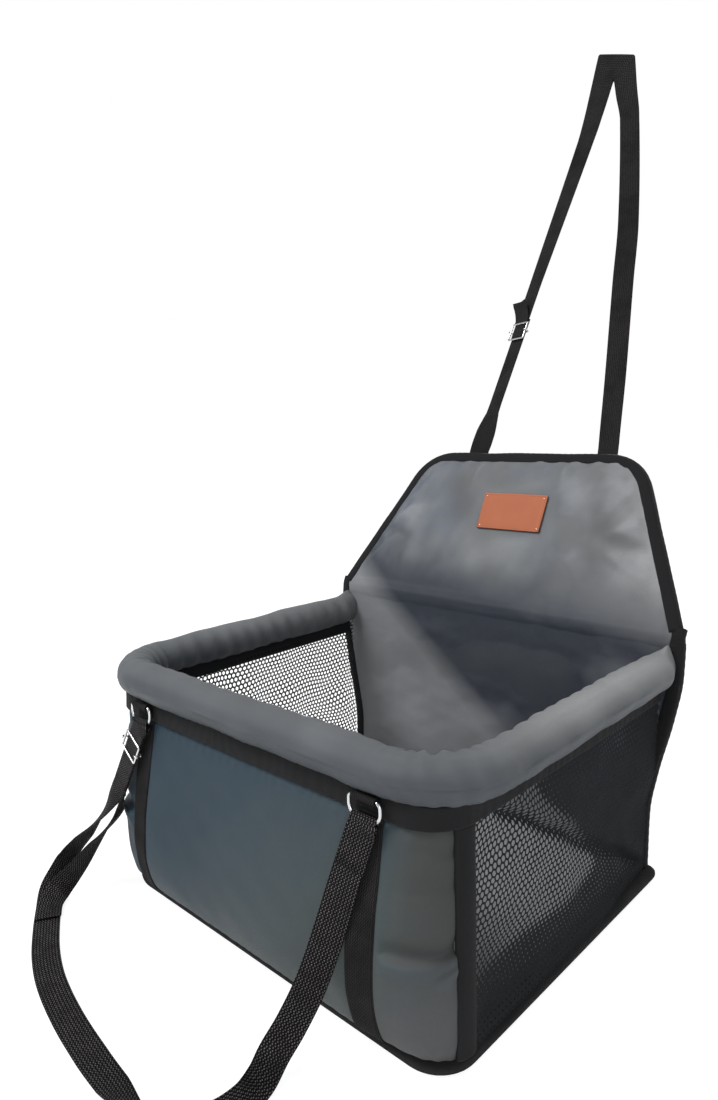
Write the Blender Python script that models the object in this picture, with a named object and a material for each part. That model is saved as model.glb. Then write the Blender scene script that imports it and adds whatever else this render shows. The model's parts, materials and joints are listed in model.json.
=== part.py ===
"""A folding car seat for a small dog: an open fabric basket with a padded rim, net sides,
a back panel whose upper half folds, a strap that goes round the car's headrest and a
shoulder strap on two D-rings. Metres, +Z up.

The origin is the centre of the underside. +X runs across the seat, -Y is its front.
"""

import math

import bmesh
import bpy
from mathutils import Vector
from mathutils.geometry import delaunay_2d_cdt

# Clearance between pieces that touch, and the smallest turn of a round shape
GAP = 0.0003
FINE_ARC_STEPS = 6
QUARTER = math.pi / 2

# Base
BASE_WIDTH = 0.430
BASE_DEPTH = 0.365
BASE_CORNER = 0.036
BASE_REAR_CORNER = 0.010
BASE_CLOTH_THICKNESS = 0.002
BASE_BOARD_THICKNESS = 0.003
BASE_EDGE_HEIGHT = 0.010
BASE_EDGE_WIDTH = 0.0115
BASE_INNER_CORNER = 0.003
PAD_HEIGHT = 0.016
PAD_INSET = 0.016
PAD_CROWN = 0.005
PAD_CORNER = 0.022

# Cloth, foam and webbing
CLOTH = 0.0012
LINING = 0.0012
WALL_FOAM = 0.0085
WEBBING_WIDTH = 0.025
WEBBING = 0.0014
RING_SPREAD = 0.150

# Front wall
FRONT_CROWN = 0.023
CROWN_FLAT_WIDTH = 0.120
CROWN_RISE_POWER = 0.56
CORNER_BINDING_WIDTH = 0.018
CORNER_BINDING_LAP = 0.001
BINDING_CLOTH = 0.0015
BAND_HEIGHT = 0.014
FRONT_LEVELS = 9

# Rim
RIM_HEIGHT = 0.231
RIM_RADIUS = 0.019
RIM_CORNER = 0.057
RIM_SETBACK = 0.003
RIM_OVERHANG = 0.002
RIM_CLOTH = 0.0014
PIPE_RADIUS = 0.010
PIPE_WALL = 0.0018
RIM_SIDES = 16
PIPE_SIDES = 12
ELBOW_LEG = 0.008

# Side nets
NET_THICKNESS = 0.0016
NET_HEM = 0.008
NET_PITCH_ALONG = 0.0245
NET_PITCH_UP = 0.0285
NET_STRAND = 0.0028
NET_BEND_START = 0.050

# Back panel, lower and upper
HINGE_HEIGHT = 0.262
HINGE_OVERHANG = 0.001
RECLINE = math.radians(2.3)
CREASE_HALF_GAP = 0.0065
SEAM_RADIUS = 0.001
BACK_LEAN = math.radians(27.5)
BACK_FOOT_HALF = 0.2055
BACK_WAIST_HEIGHT = 0.085
BACK_HIP_HEIGHT = 0.210
BACK_HIP_HALF = 0.2325
BACK_FOAM = 0.0034
BACK_BOARD = 0.0020
BIAS_CLOTH = 0.001
BIAS_WIDTH = 0.012
LOWER_CROWN = 0.003
FLAP_TOP_HALF = 0.1475
FLAP_HEIGHT = 0.1945
FLAP_CORNER = 0.060
FLAP_CROWN = 0.008
CENTRE_HEIGHT = 0.090

# Leather patch on the upper back
PATCH_WIDTH = 0.086
PATCH_HEIGHT = 0.046
PATCH_THICKNESS = 0.0016
PATCH_SIDEWAYS = 0.009
PATCH_UP = 0.114

# D-rings and their tabs
RING_WIRE = 0.0014
RING_HALF_WIDTH = 0.0149
RING_CORNER = 0.0018
RING_HEIGHT = 0.017
RING_BOW = 0.005
RING_STANDOFF = 0.0095
RING_DROP = 0.0003
RING_RUNNING = 0.00035
STRAP_RISE = 0.0008
STRAP_RUNNING = 0.0006
STRAP_STRAIGHT = 0.0028
TAB_WALL = 0.0012
TAB_DEPTH = 0.010

# Strap sliders
SLIDER_WIRE = 0.0011
SLIDER_BAR = 0.0009
SLIDER_INSIDE = 0.0275
SLIDER_HEIGHT = 0.019
HEADREST_SLIDER_HEIGHT = 0.022
SLIDER_CORNER = 0.002

# Layers of doubled strap
LAYER_PITCH = 0.00175
LOOP_RUN_IN = 0.011

# Shoulder strap, from the left D-ring: the straight doubled stretch and the slider on it
LEFT_STRAP_DIRECTION = Vector((-0.412, -0.126, -0.9025)).normalized()
LEFT_STRAP_ACROSS = Vector((0.915, -0.138, -0.379))
LEFT_DOUBLE_LENGTH = 0.076
SHOULDER_SLIDER_AT = 0.031
RIGHT_DOUBLE_LENGTH = 0.030

# Headrest strap, in the folding panel's own frame: sideways, through it and up from the
# crease. Above the panel's top it runs in a steeper plane, so it comes forward as it rises
HEADREST_BEHIND = 0.0066
HEADREST_SEWN_UP = 0.160
LEFT_FOOT = Vector((-0.0778, HEADREST_BEHIND, 0.2040))
LEFT_HEAD = Vector((-0.0262, -0.0245, 0.6440))
HEADREST_TWIST = math.radians(-19)
HEADREST_SETTLED = 0.250
HEADREST_SLIDER_UP = 0.368
HEADREST_LAP_BELOW = 0.300
HEADREST_LAP_ABOVE = 0.432
HEADREST_TAIL_LENGTH = 0.026
HEADREST_TAIL_LEAN = 0.008

# Shares of a crown's height at shares of the way out from the panel's centre
CROWN_SHARES = [(1.0, 0.0), (0.84, 0.04), (0.72, 0.45), (0.61, 0.85), (0.50, 1.0)]

# Route of the shoulder strap's free stretch, from the left D-ring's doubled stretch over
# the ground to the right D-ring: place, then the direction across the strap
STRAP_ROUTE = [
    ((-0.1864, -0.2053, 0.1153), (-0.90, 0.17, 0.39)),
    ((-0.1955, -0.2095, 0.1020), (-0.77, 0.48, 0.42)),
    ((-0.2159, -0.2120, 0.0789), (-0.48, 0.86, 0.20)),
    ((-0.2370, -0.2200, 0.0538), (-0.14, 0.96, -0.24)),
    ((-0.2543, -0.2290, 0.0317), (-0.09, 0.90, -0.43)),
    ((-0.2546, -0.2400, 0.0160), (0.35, 0.77, -0.54)),
    ((-0.2480, -0.2540, 0.0052), (0.50, 0.80, -0.30)),
    ((-0.2250, -0.2690, 0.0016), (0.52, 0.85, -0.06)),
    ((-0.1950, -0.2860, 0.0010), (0.45, 0.89, 0.0)),
    ((-0.1560, -0.3050, 0.0010), (0.38, 0.92, 0.0)),
    ((-0.1160, -0.3190, 0.0010), (0.30, 0.95, 0.0)),
    ((-0.0640, -0.3300, 0.0010), (0.18, 0.98, 0.0)),
    ((-0.0100, -0.3370, 0.0010), (0.09, 0.99, 0.0)),
    ((0.0250, -0.3400, 0.0014), (0.05, 0.99, -0.10)),
    ((0.0560, -0.3440, 0.0070), (0.05, 0.82, -0.55)),
    ((0.0880, -0.3400, 0.0124), (-0.10, 0.35, -0.92)),
    ((0.1110, -0.3180, 0.0136), (-0.12, 0.05, -0.99)),
    ((0.1180, -0.2930, 0.0124), (0.30, 0.16, -0.90)),
    ((0.1125, -0.2700, 0.0104), (0.66, 0.33, -0.66)),
    ((0.1070, -0.2520, 0.0170), (0.80, 0.36, -0.48)),
    ((0.1110, -0.2380, 0.0340), (0.81, 0.40, -0.43)),
    ((0.1200, -0.2250, 0.0640), (0.80, 0.45, -0.39)),
    ((0.1275, -0.2130, 0.1000), (0.80, 0.50, -0.33)),
    ((0.1340, -0.2055, 0.1320), (0.84, 0.48, -0.30)),
]
# Route of the strap's spare end, which hangs beside it under the slider
TAIL_ROUTE = [
    ((-0.1858, -0.2003, 0.1146), (0.90, -0.17, -0.39)),
    ((-0.1855, -0.1995, 0.1030), (0.80, -0.45, -0.42)),
    ((-0.1951, -0.2080, 0.0817), (0.64, -0.73, -0.23)),
    ((-0.2120, -0.2170, 0.0594), (0.42, -0.90, 0.12)),
    ((-0.2207, -0.2250, 0.0438), (0.29, -0.89, 0.36)),
    ((-0.2273, -0.2340, 0.0294), (0.09, -0.84, 0.54)),
    ((-0.2318, -0.2440, 0.0180), (-0.20, -0.80, 0.50)),
    ((-0.2254, -0.2545, 0.0138), (-0.30, -0.88, 0.35)),
]
# Route of the headrest strap over the headrest: sideways, outward and up, and its twist
APEX_ROUTE = [
    ((-0.0262, -0.0245, 0.6440), 0),
    ((-0.0235, -0.0275, 0.6800), 22),
    ((-0.0240, -0.0350, 0.7150), 38),
    ((-0.0235, -0.0390, 0.7400), 42),
    ((-0.0185, -0.0380, 0.7570), 42),
    ((-0.0085, -0.0310, 0.7640), 42),
    ((0.0015, -0.0220, 0.7570), 42),
    ((0.0080, -0.0180, 0.7400), 42),
    ((0.0140, -0.0170, 0.7150), 42),
    ((0.0288, -0.0180, 0.6620), 40),
    ((0.0598, -0.0115, 0.5060), 24),
    ((0.0705, -0.0060, 0.4230), 16),
    ((0.0880, 0.0010, 0.3000), 9),
    ((0.0965, 0.0056, 0.2300), 2),
    ((0.1000, 0.0066, 0.2040), 0),
    ((0.1050, 0.0066, 0.1600), 0),
]

# Places that follow from the sizes
FRONT_Y = -BASE_DEPTH / 2
HINGE_BACK = BASE_DEPTH / 2 + HINGE_OVERHANG
BASE_TOP = BASE_CLOTH_THICKNESS + GAP + BASE_EDGE_HEIGHT
WALL_FOOT = BASE_TOP + GAP
WALL_TOP = RIM_HEIGHT - RIM_RADIUS - GAP
EDGE_HALF = GAP / 2 + BACK_FOAM / 2 + BACK_BOARD / 2 + GAP + CLOTH
SLOT_HALF = EDGE_HALF + GAP
BIAS_HALF = SLOT_HALF + BIAS_CLOTH
STRAIGHT_HALF = BASE_WIDTH / 2 - BASE_CORNER
CORNER_END = STRAIGHT_HALF + BASE_CORNER * QUARTER
FACE_END = CORNER_END - CORNER_BINDING_WIDTH
RIM_HALF = BASE_WIDTH / 2 + RIM_OVERHANG
RIM_FRONT = FRONT_Y + RIM_SETBACK
RING_Z = WALL_TOP - RING_DROP
RING_Y = FRONT_Y - RING_STANDOFF
STRAP_SEAT = RING_HEIGHT - STRAP_RISE


def material(name, colour, roughness, metallic=0.0):
    made = bpy.data.materials.new(name)
    made.use_nodes = True
    shader = made.node_tree.nodes["Principled BSDF"]
    shader.inputs["Base Color"].default_value = (*colour, 1.0)
    shader.inputs["Roughness"].default_value = roughness
    shader.inputs["Metallic"].default_value = metallic
    return made


def make_materials():
    return {
        "slate": material("slate_fabric", (0.065, 0.080, 0.092), 0.55),
        "grey": material("grey_fabric", (0.150, 0.155, 0.165), 0.5),
        "lining": material("lining_fabric", (0.030, 0.034, 0.045), 0.7),
        "black": material("black_cloth", (0.012, 0.012, 0.013), 0.85),
        "webbing": material("black_webbing", (0.018, 0.016, 0.017), 0.8),
        "net": material("black_net", (0.010, 0.010, 0.011), 0.7),
        "foam": material("foam", (0.62, 0.60, 0.55), 0.9),
        "board": material("stiffener_board", (0.20, 0.20, 0.21), 0.6),
        "pipe": material("plastic_pipe", (0.75, 0.75, 0.73), 0.4),
        "leather": material("brown_leather", (0.48, 0.16, 0.065), 0.5),
        "steel": material("bright_wire", (0.75, 0.75, 0.76), 0.22, 1.0),
    }


def build_object(name, points, faces, look, origin=None, parent=None, smooth=None):
    """One closed body from points and faces, its faces turned outward."""
    origin = Vector(origin) if origin is not None else Vector()
    shape = bmesh.new()
    corners = [shape.verts.new(Vector(point) - origin) for point in points]
    for face in faces:
        shape.faces.new([corners[index] for index in face])
    bmesh.ops.recalc_face_normals(shape, faces=shape.faces)
    mesh = bpy.data.meshes.new(name)
    shape.to_mesh(mesh)
    shape.free()
    mesh.materials.append(look)
    if smooth is not None:
        mesh.shade_smooth()
        mesh.set_sharp_from_angle(angle=math.radians(smooth))
    made = bpy.data.objects.new(name, mesh)
    made.location = origin
    made.parent = parent
    bpy.context.scene.collection.objects.link(made)
    return made


def arc_points(centre, radius, start, end, steps=FINE_ARC_STEPS):
    """Points on an arc from start to end, angles in radians."""
    turn = (end - start) / steps
    angles = [start + turn * index for index in range(steps + 1)]
    return [(centre[0] + radius * math.cos(a), centre[1] + radius * math.sin(a)) for a in angles]


def base_outline(inset):
    """The base's rounded outline, drawn in by inset."""
    right = BASE_WIDTH / 2 - inset
    back = BASE_DEPTH / 2 - inset
    front = max(BASE_CORNER - inset, PAD_CORNER)
    rear = max(BASE_REAR_CORNER - inset, BASE_INNER_CORNER)
    corners = [
        ((right - front, front - back), front, -QUARTER),
        ((right - rear, back - rear), rear, 0.0),
        ((rear - right, back - rear), rear, QUARTER),
        ((front - right, front - back), front, 2 * QUARTER),
    ]
    outline = []
    for centre, radius, start in corners:
        outline += arc_points(centre, radius, start, start + QUARTER)
    return outline


def prism(outline, low, high, place):
    """A plate with a flat outline between two offsets, which place puts in space."""
    count = len(outline)
    points = [place(*point, low) for point in outline] + [place(*point, high) for point in outline]
    faces = [list(range(count)), list(range(count, 2 * count))]
    for index in range(count):
        after = (index + 1) % count
        faces.append([index, after, count + after, count + index])
    return points, faces


def flat(x, y, z):
    return (x, y, z)


def ring_wall(outer, inner, low, high, place):
    """A closed band between two outlines of as many points, from low to high."""
    count = len(outer)
    points = []
    for outline, height in ((outer, low), (outer, high), (inner, high), (inner, low)):
        points += [place(x, y, height) for x, y in outline]
    faces = []
    for index in range(count):
        after = (index + 1) % count
        for ring in range(4):
            here = ring * count
            beyond = ((ring + 1) % 4) * count
            faces.append([here + index, here + after, beyond + after, beyond + index])
    return points, faces


def crowned(outline, centre, front, back, place, crown=0.0, back_crown=0.0):
    """A panel with a domed front face and a flat or domed back, on a common outline."""
    count = len(outline)
    points = []

    def ring(share, offset):
        start = len(points)
        for across, up in outline:
            x = centre[0] + (across - centre[0]) * share
            z = centre[1] + (up - centre[1]) * share
            points.append(place(x, z, offset))
        return start

    front_rings = [ring(share, front + crown * height) for share, height in CROWN_SHARES]
    if back_crown:
        back_rings = [ring(share, back + back_crown * height) for share, height in CROWN_SHARES]
    else:
        back_rings = [ring(CROWN_SHARES[0][0], back)]
    chain = back_rings[::-1] + front_rings
    faces = []
    for low, high in zip(chain, chain[1:]):
        for index in range(count):
            after = (index + 1) % count
            faces.append([low + index, low + after, high + after, high + index])
    faces.append([chain[0] + index for index in range(count)])
    faces.append([chain[-1] + index for index in range(count)])
    return points, faces


def two_sided(outer, inner):
    """A closed body between two grids of points with the same rows and columns."""
    rows = len(outer)
    columns = len(outer[0])
    size = rows * columns
    points = [point for row in outer for point in row] + [point for row in inner for point in row]
    faces = []
    for row in range(rows - 1):
        for column in range(columns - 1):
            here = row * columns + column
            square = [here, here + 1, here + columns + 1, here + columns]
            faces.append(square)
            faces.append([index + size for index in square])
    border = [row * columns for row in range(rows)]
    border += [(rows - 1) * columns + column for column in range(1, columns)]
    border += [row * columns + columns - 1 for row in range(rows - 2, -1, -1)]
    border += [column for column in range(columns - 2, 0, -1)]
    for here, after in zip(border, border[1:] + border[:1]):
        faces.append([here, after, after + size, here + size])
    return points, faces


def back_plane(height):
    """Where the lower back panel's middle lies at a height: it reclines a little."""
    return HINGE_BACK - (HINGE_HEIGHT - height) * math.tan(RECLINE)


def rear_limit(height):
    """Where pieces in front of the lower back panel end."""
    return back_plane(height) - BIAS_HALF - GAP


def back_half(height):
    """Half the lower back panel's width at a height."""
    rise = (height - BACK_WAIST_HEIGHT) / (BACK_HIP_HEIGHT - BACK_WAIST_HEIGHT)
    return BACK_FOOT_HALF + (BACK_HIP_HALF - BACK_FOOT_HALF) * min(max(rise, 0.0), 1.0)


def front_line(along):
    """Place and outward normal on the wall's outline, by the way along it from the middle."""
    side = math.copysign(1.0, along)
    way = abs(along)
    if way <= STRAIGHT_HALF:
        return Vector((along, FRONT_Y)), Vector((0.0, -1.0))
    if way <= CORNER_END:
        turn = (way - STRAIGHT_HALF) / BASE_CORNER
        x = STRAIGHT_HALF + BASE_CORNER * math.sin(turn)
        y = FRONT_Y + BASE_CORNER * (1 - math.cos(turn))
        return Vector((side * x, y)), Vector((side * math.sin(turn), -math.cos(turn)))
    y = FRONT_Y + BASE_CORNER + way - CORNER_END
    return Vector((side * BASE_WIDTH / 2, y)), Vector((side, 0.0))


def front_crown(along, height):
    """How far the padded front swells outward at a place along it and a height."""
    rise = min(max((height - WALL_FOOT) / (WALL_TOP - WALL_FOOT), 0.0), 1.0)
    swell = math.sin(math.pi * rise**CROWN_RISE_POWER)
    beyond = max(abs(along) - CROWN_FLAT_WIDTH, 0.0) / (FACE_END - CROWN_FLAT_WIDTH)
    return FRONT_CROWN * swell * max(1 - beyond**2, 0.0)


def wall_point(along, height, outward, swollen=True):
    """A point on the basket's wall, outward from the base's outline."""
    place, normal = front_line(along)
    reach = outward + (front_crown(along, height) if swollen else 0.0)
    return (*(place + normal * reach), height)


def wall_stations(end):
    """Places along the front wall, closest where it swells and turns."""
    steps = [0.0, CROWN_FLAT_WIDTH]
    swell = (STRAIGHT_HALF - CROWN_FLAT_WIDTH) / 3
    steps += [CROWN_FLAT_WIDTH + swell * count for count in range(1, 4)]
    turn = CORNER_END - STRAIGHT_HALF
    steps += [STRAIGHT_HALF + turn * count / FINE_ARC_STEPS for count in range(1, FINE_ARC_STEPS + 1)]
    half = [step for step in steps if step < end - GAP] + [end]
    return [-step for step in half[:0:-1]] + half


def wall_piece(stations, low, high, levels, inner, outer, swollen_inner=True, swollen=True):
    """Outer and inner grids of a piece of the wall."""
    heights = [low + (high - low) * level / (levels - 1) for level in range(levels)]
    outside = [[wall_point(s, z, outer, swollen) for z in heights] for s in stations]
    inside = [[wall_point(s, z, inner, swollen and swollen_inner) for z in heights] for s in stations]
    return two_sided(outside, inside)


def swept_tube(path, normal, radius, sides, closed=False, bore=0.0):
    """A round bar or pipe along a path that lies in a plane with this normal."""
    normal = Vector(normal).normalized()
    path = [Vector(point) for point in path]
    count = len(path)
    points = []
    for size in [radius] + ([bore] if bore else []):
        for index, point in enumerate(path):
            before = path[index - 1] if closed or index else point
            after = path[(index + 1) % count] if closed or index < count - 1 else point
            into = (point - before).normalized() if point != before else Vector()
            out = (after - point).normalized() if after != point else Vector()
            tangent = (into + out).normalized()
            beside = normal.cross(tangent)
            bend = (into.normalized() if into.length else out).dot(tangent)
            stretch = size / max(bend, 0.5)
            for side in range(sides):
                angle = 2 * math.pi * side / sides
                points.append(point + beside * stretch * math.cos(angle) + normal * size * math.sin(angle))
    faces = []
    spans = count if closed else count - 1
    for layer in range(2 if bore else 1):
        base = layer * count * sides
        for index in range(spans):
            here = base + index * sides
            beyond = base + ((index + 1) % count) * sides
            for side in range(sides):
                after = (side + 1) % sides
                faces.append([here + side, here + after, beyond + after, beyond + side])
    if not closed and not bore:
        faces.append(list(range(sides)))
        faces.append([(count - 1) * sides + side for side in range(sides)])
    if not closed and bore:
        for start in (0, (count - 1) * sides):
            for side in range(sides):
                after = (side + 1) % sides
                inner = start + count * sides
                faces.append([start + side, start + after, inner + after, inner + side])
    return points, faces


def smooth_route(route, steps):
    """Places and directions on a smooth curve through a route's own points."""
    places = [Vector(place) for place, across in route]
    across = [Vector(direction).normalized() for place, direction in route]
    out = []
    last = len(route) - 1
    for index in range(last):
        before, here, there, after = (places[min(max(index + shift, 0), last)] for shift in (-1, 0, 1, 2))
        span = (there - here).length
        leave = (there - before) * span / ((here - before).length + span)
        arrive = (after - here) * span / ((after - there).length + span)
        for step in range(steps):
            t = step / steps
            place = here.lerp(there, t * t * (3 - 2 * t))
            place += leave * t * (1 - t)**2 - arrive * t * t * (1 - t)
            out.append((place, across[index].lerp(across[index + 1], t).normalized()))
    out.append((places[last], across[last]))
    squared = [out[0]]
    for before, (place, direction), after in zip(out, out[1:], out[2:]):
        run = (after[0] - before[0]).normalized()
        squared.append((place, (direction - run * run.dot(direction)).normalized()))
    return squared + [out[-1]]


def ribbon(route, width, thickness):
    """A flat strap along a list of places, each with the direction across the strap."""
    points = []
    last = len(route) - 1
    for index, (place, across) in enumerate(route):
        tangent = (route[min(index + 1, last)][0] - route[max(index - 1, 0)][0]).normalized()
        normal = tangent.cross(across).normalized()
        for side, face in ((-1, -1), (1, -1), (1, 1), (-1, 1)):
            points.append(place + across * side * width / 2 + normal * face * thickness / 2)
    faces = [[0, 1, 2, 3], [4 * last + corner for corner in range(4)]]
    for index in range(last):
        for corner in range(4):
            after = (corner + 1) % 4
            here = 4 * index
            faces.append([here + corner, here + after, here + 4 + after, here + 4 + corner])
    return points, faces


def channel(path, place):
    """A folded binding that wraps the edge of a panel, along a path of places and normals."""
    flange = -BIAS_WIDTH
    web = GAP + BIAS_CLOTH
    section = [(flange, -BIAS_HALF), (web, -BIAS_HALF), (web, BIAS_HALF), (flange, BIAS_HALF),
               (flange, SLOT_HALF), (GAP, SLOT_HALF), (GAP, -SLOT_HALF), (flange, -SLOT_HALF)]
    count = len(section)
    points = []
    for spot, normal in path:
        for outward, through in section:
            x, z = Vector(spot) + Vector(normal) * outward
            points.append(place(x, z, through))
    faces = []
    for index in range(len(path) - 1):
        for corner in range(count):
            after = (corner + 1) % count
            here = index * count
            faces.append([here + corner, here + after, here + count + after, here + count + corner])
    for start in (0, (len(path) - 1) * count):
        for quad in ((0, 1, 6, 7), (1, 2, 5, 6), (2, 3, 4, 5)):
            faces.append([start + corner for corner in quad])
    return points, faces


def holed_plate(outline, holes, low, high, place):
    """A flat plate with convex holes through it."""
    loops = [outline] + holes
    flat_points = [Vector(point) for loop in loops for point in loop]
    owners = [number for number, loop in enumerate(loops) for point in loop]
    edges = []
    start = 0
    for loop in loops:
        rim = list(range(start, start + len(loop)))
        edges += list(zip(rim, rim[1:] + rim[:1]))
        start += len(loop)
    triangles = delaunay_2d_cdt(flat_points, edges, [], 0, GAP * GAP)[2]
    kept = []
    for face in triangles:
        owner = {owners[index] for index in face}
        if len(owner) > 1 or 0 in owner:
            kept.append(list(face))
    count = len(flat_points)
    points = [place(*point, low) for point in flat_points] + [place(*point, high) for point in flat_points]
    faces = kept + [[index + count for index in face] for face in kept]
    for here, after in edges:
        faces.append([here, after, after + count, here + count])
    return points, faces


def build_base(looks):
    outline = base_outline(0.0)
    board_low = BASE_CLOTH_THICKNESS + GAP
    pad_low = board_low + BASE_BOARD_THICKNESS + GAP
    cloth = prism(outline, 0.0, BASE_CLOTH_THICKNESS, flat)
    build_object("base_cloth", *cloth, looks["black"])
    edge = ring_wall(outline, base_outline(BASE_EDGE_WIDTH), board_low, BASE_TOP, flat)
    build_object("base_edge", *edge, looks["black"])
    board_outline = base_outline(BASE_EDGE_WIDTH + GAP)
    board = prism(board_outline, board_low, board_low + BASE_BOARD_THICKNESS, flat)
    build_object("base_board", *board, looks["board"])
    pad = crowned(base_outline(PAD_INSET), (0.0, 0.0), pad_low + PAD_HEIGHT, pad_low, flat, PAD_CROWN)
    build_object("base_pad", *pad, looks["grey"], smooth=40)


def build_front(looks):
    stations = wall_stations(FACE_END)
    foam_outer = -CLOTH - GAP
    foam_inner = foam_outer - WALL_FOAM
    face = wall_piece(stations, WALL_FOOT, WALL_TOP, FRONT_LEVELS, -CLOTH, 0.0)
    build_object("front_face", *face, looks["slate"], smooth=50)
    foam = wall_piece(stations, WALL_FOOT, WALL_TOP, FRONT_LEVELS, foam_inner, foam_outer, False)
    build_object("front_foam", *foam, looks["foam"], smooth=50)
    lining_outer = foam_inner - GAP
    lining = wall_piece(stations, WALL_FOOT, WALL_TOP, 2, lining_outer - LINING, lining_outer, False, False)
    build_object("front_lining", *lining, looks["lining"], smooth=50)


def build_corner_bindings(looks):
    top = WALL_TOP - BAND_HEIGHT - GAP
    end = CORNER_END + CORNER_BINDING_LAP
    steps = 5
    start = FACE_END + GAP
    ways = [start + (end - start) * step / steps for step in range(steps + 1)]
    for side, name in ((-1, "left"), (1, "right")):
        stations = [side * way for way in ways]
        strip = wall_piece(stations, WALL_FOOT, top, 2, GAP - BINDING_CLOTH, GAP)
        build_object(f"corner_binding_{name}", *strip, looks["black"], smooth=50)


def build_webbings(looks):
    top = WALL_TOP - BAND_HEIGHT - GAP
    for side, name in ((-1, "left"), (1, "right")):
        middle = side * RING_SPREAD
        stations = [middle - WEBBING_WIDTH / 2, middle, middle + WEBBING_WIDTH / 2]
        strip = wall_piece(stations, WALL_FOOT, top, FRONT_LEVELS, GAP, GAP + WEBBING)
        build_object(f"front_webbing_{name}", *strip, looks["webbing"], smooth=50)


def build_rim_band(looks):
    end = CORNER_END + rear_limit(WALL_TOP - BAND_HEIGHT) - FRONT_Y - BASE_CORNER
    stations = wall_stations(CORNER_END)
    stations = [-end] + stations + [end]
    band = wall_piece(stations, WALL_TOP - BAND_HEIGHT, WALL_TOP, 3, 2 * GAP, 2 * GAP + CLOTH)
    build_object("rim_band", *band, looks["black"], smooth=50)


def rim_path():
    """The rim's U from its left end, round the front, to its right end."""
    back = rear_limit(WALL_TOP)
    centre_x = RIM_HALF - RIM_CORNER
    centre_y = RIM_FRONT + RIM_CORNER
    left = arc_points((-centre_x, centre_y), RIM_CORNER, 2 * QUARTER, 3 * QUARTER)
    right = arc_points((centre_x, centre_y), RIM_CORNER, 3 * QUARTER, 4 * QUARTER)
    path = [(-RIM_HALF, back)] + left + right + [(RIM_HALF, back)]
    return [(x, y, RIM_HEIGHT) for x, y in path]


def build_rim(looks):
    up = (0.0, 0.0, 1.0)
    path = rim_path()
    foam_radius = RIM_RADIUS - RIM_CLOTH - GAP
    sleeve = swept_tube(path, up, RIM_RADIUS, RIM_SIDES, bore=RIM_RADIUS - RIM_CLOTH)
    build_object("rim_sleeve", *sleeve, looks["grey"], smooth=50)
    foam = swept_tube(path, up, foam_radius, RIM_SIDES, bore=PIPE_RADIUS + 2 * GAP)
    build_object("rim_foam", *foam, looks["foam"], smooth=50)
    bore = PIPE_RADIUS - PIPE_WALL
    corner_y = RIM_FRONT + RIM_CORNER + ELBOW_LEG
    corner_x = RIM_HALF - RIM_CORNER - ELBOW_LEG
    front = [(GAP - corner_x, RIM_FRONT, RIM_HEIGHT), (corner_x - GAP, RIM_FRONT, RIM_HEIGHT)]
    shape = swept_tube(front, up, PIPE_RADIUS, PIPE_SIDES, bore=bore)
    build_object("rim_pipe_front", *shape, looks["pipe"], smooth=50)
    steps = FINE_ARC_STEPS + 1
    for side, name in ((-1, "left"), (1, "right")):
        end = side * RIM_HALF
        pipe = [(end, corner_y + GAP, RIM_HEIGHT), (end, rear_limit(WALL_TOP), RIM_HEIGHT)]
        shape = swept_tube(pipe, up, PIPE_RADIUS, PIPE_SIDES, bore=bore)
        build_object(f"rim_pipe_{name}", *shape, looks["pipe"], smooth=50)
        bend = path[1:1 + steps][::-1] if side < 0 else path[1 + steps:1 + 2 * steps]
        bend = [(side * corner_x, RIM_FRONT, RIM_HEIGHT)] + bend + [(end, corner_y, RIM_HEIGHT)]
        shape = swept_tube(bend, up, PIPE_RADIUS, PIPE_SIDES, bore=bore)
        build_object(f"rim_elbow_{name}", *shape, looks["pipe"], smooth=50)


def net_holes(low_y, high_y, low_z, high_z):
    """Diamond openings in staggered rows, as many as fit between the hems."""
    columns = int((high_y - low_y) / NET_PITCH_ALONG)
    rows = int((high_z - low_z) / NET_PITCH_UP)
    half_along = (NET_PITCH_ALONG - NET_STRAND) / 2
    half_up = (NET_PITCH_UP - NET_STRAND) / 2
    start_y = (low_y + high_y - columns * NET_PITCH_ALONG) / 2
    start_z = (low_z + high_z - rows * NET_PITCH_UP) / 2
    centres = [(column + 0.5, row + 0.5) for column in range(columns) for row in range(rows)]
    centres += [(column, row) for column in range(1, columns) for row in range(1, rows)]
    holes = []
    for column, row in centres:
        y = start_y + column * NET_PITCH_ALONG
        z = start_z + row * NET_PITCH_UP
        holes.append([(y - half_along, z), (y, z - half_up), (y + half_along, z), (y, z + half_up)])
    return holes


def build_nets(looks):
    outer = BASE_WIDTH / 2 + GAP - BINDING_CLOTH - GAP
    front = FRONT_Y + BASE_CORNER + GAP
    holes = net_holes(front + NET_HEM, rear_limit(WALL_FOOT) - NET_HEM, WALL_FOOT + NET_HEM,
                      WALL_TOP - BAND_HEIGHT)
    outline = [(front, WALL_FOOT), (rear_limit(WALL_FOOT), WALL_FOOT),
               (rear_limit(WALL_TOP), WALL_TOP), (front, WALL_TOP)]
    for side, name in ((-1, "left"), (1, "right")):
        def sideways(y, z, x, side=side):
            way = min(max((y - NET_BEND_START) / (rear_limit(z) - NET_BEND_START), 0.0), 1.0)
            drawn_in = max(outer - back_half(z) - GAP - BIAS_CLOTH, 0.0)
            return (side * (x - drawn_in * way * way * (3 - 2 * way)), y, z)
        plate = holed_plate(outline, holes, outer - NET_THICKNESS, outer, sideways)
        build_object(f"side_net_{name}", *plate, looks["net"])


def panel_place(x, z, through):
    """A place on the lower back panel, through its thickness from the crease's plane."""
    return (x, back_plane(z) + through, z)


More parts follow.
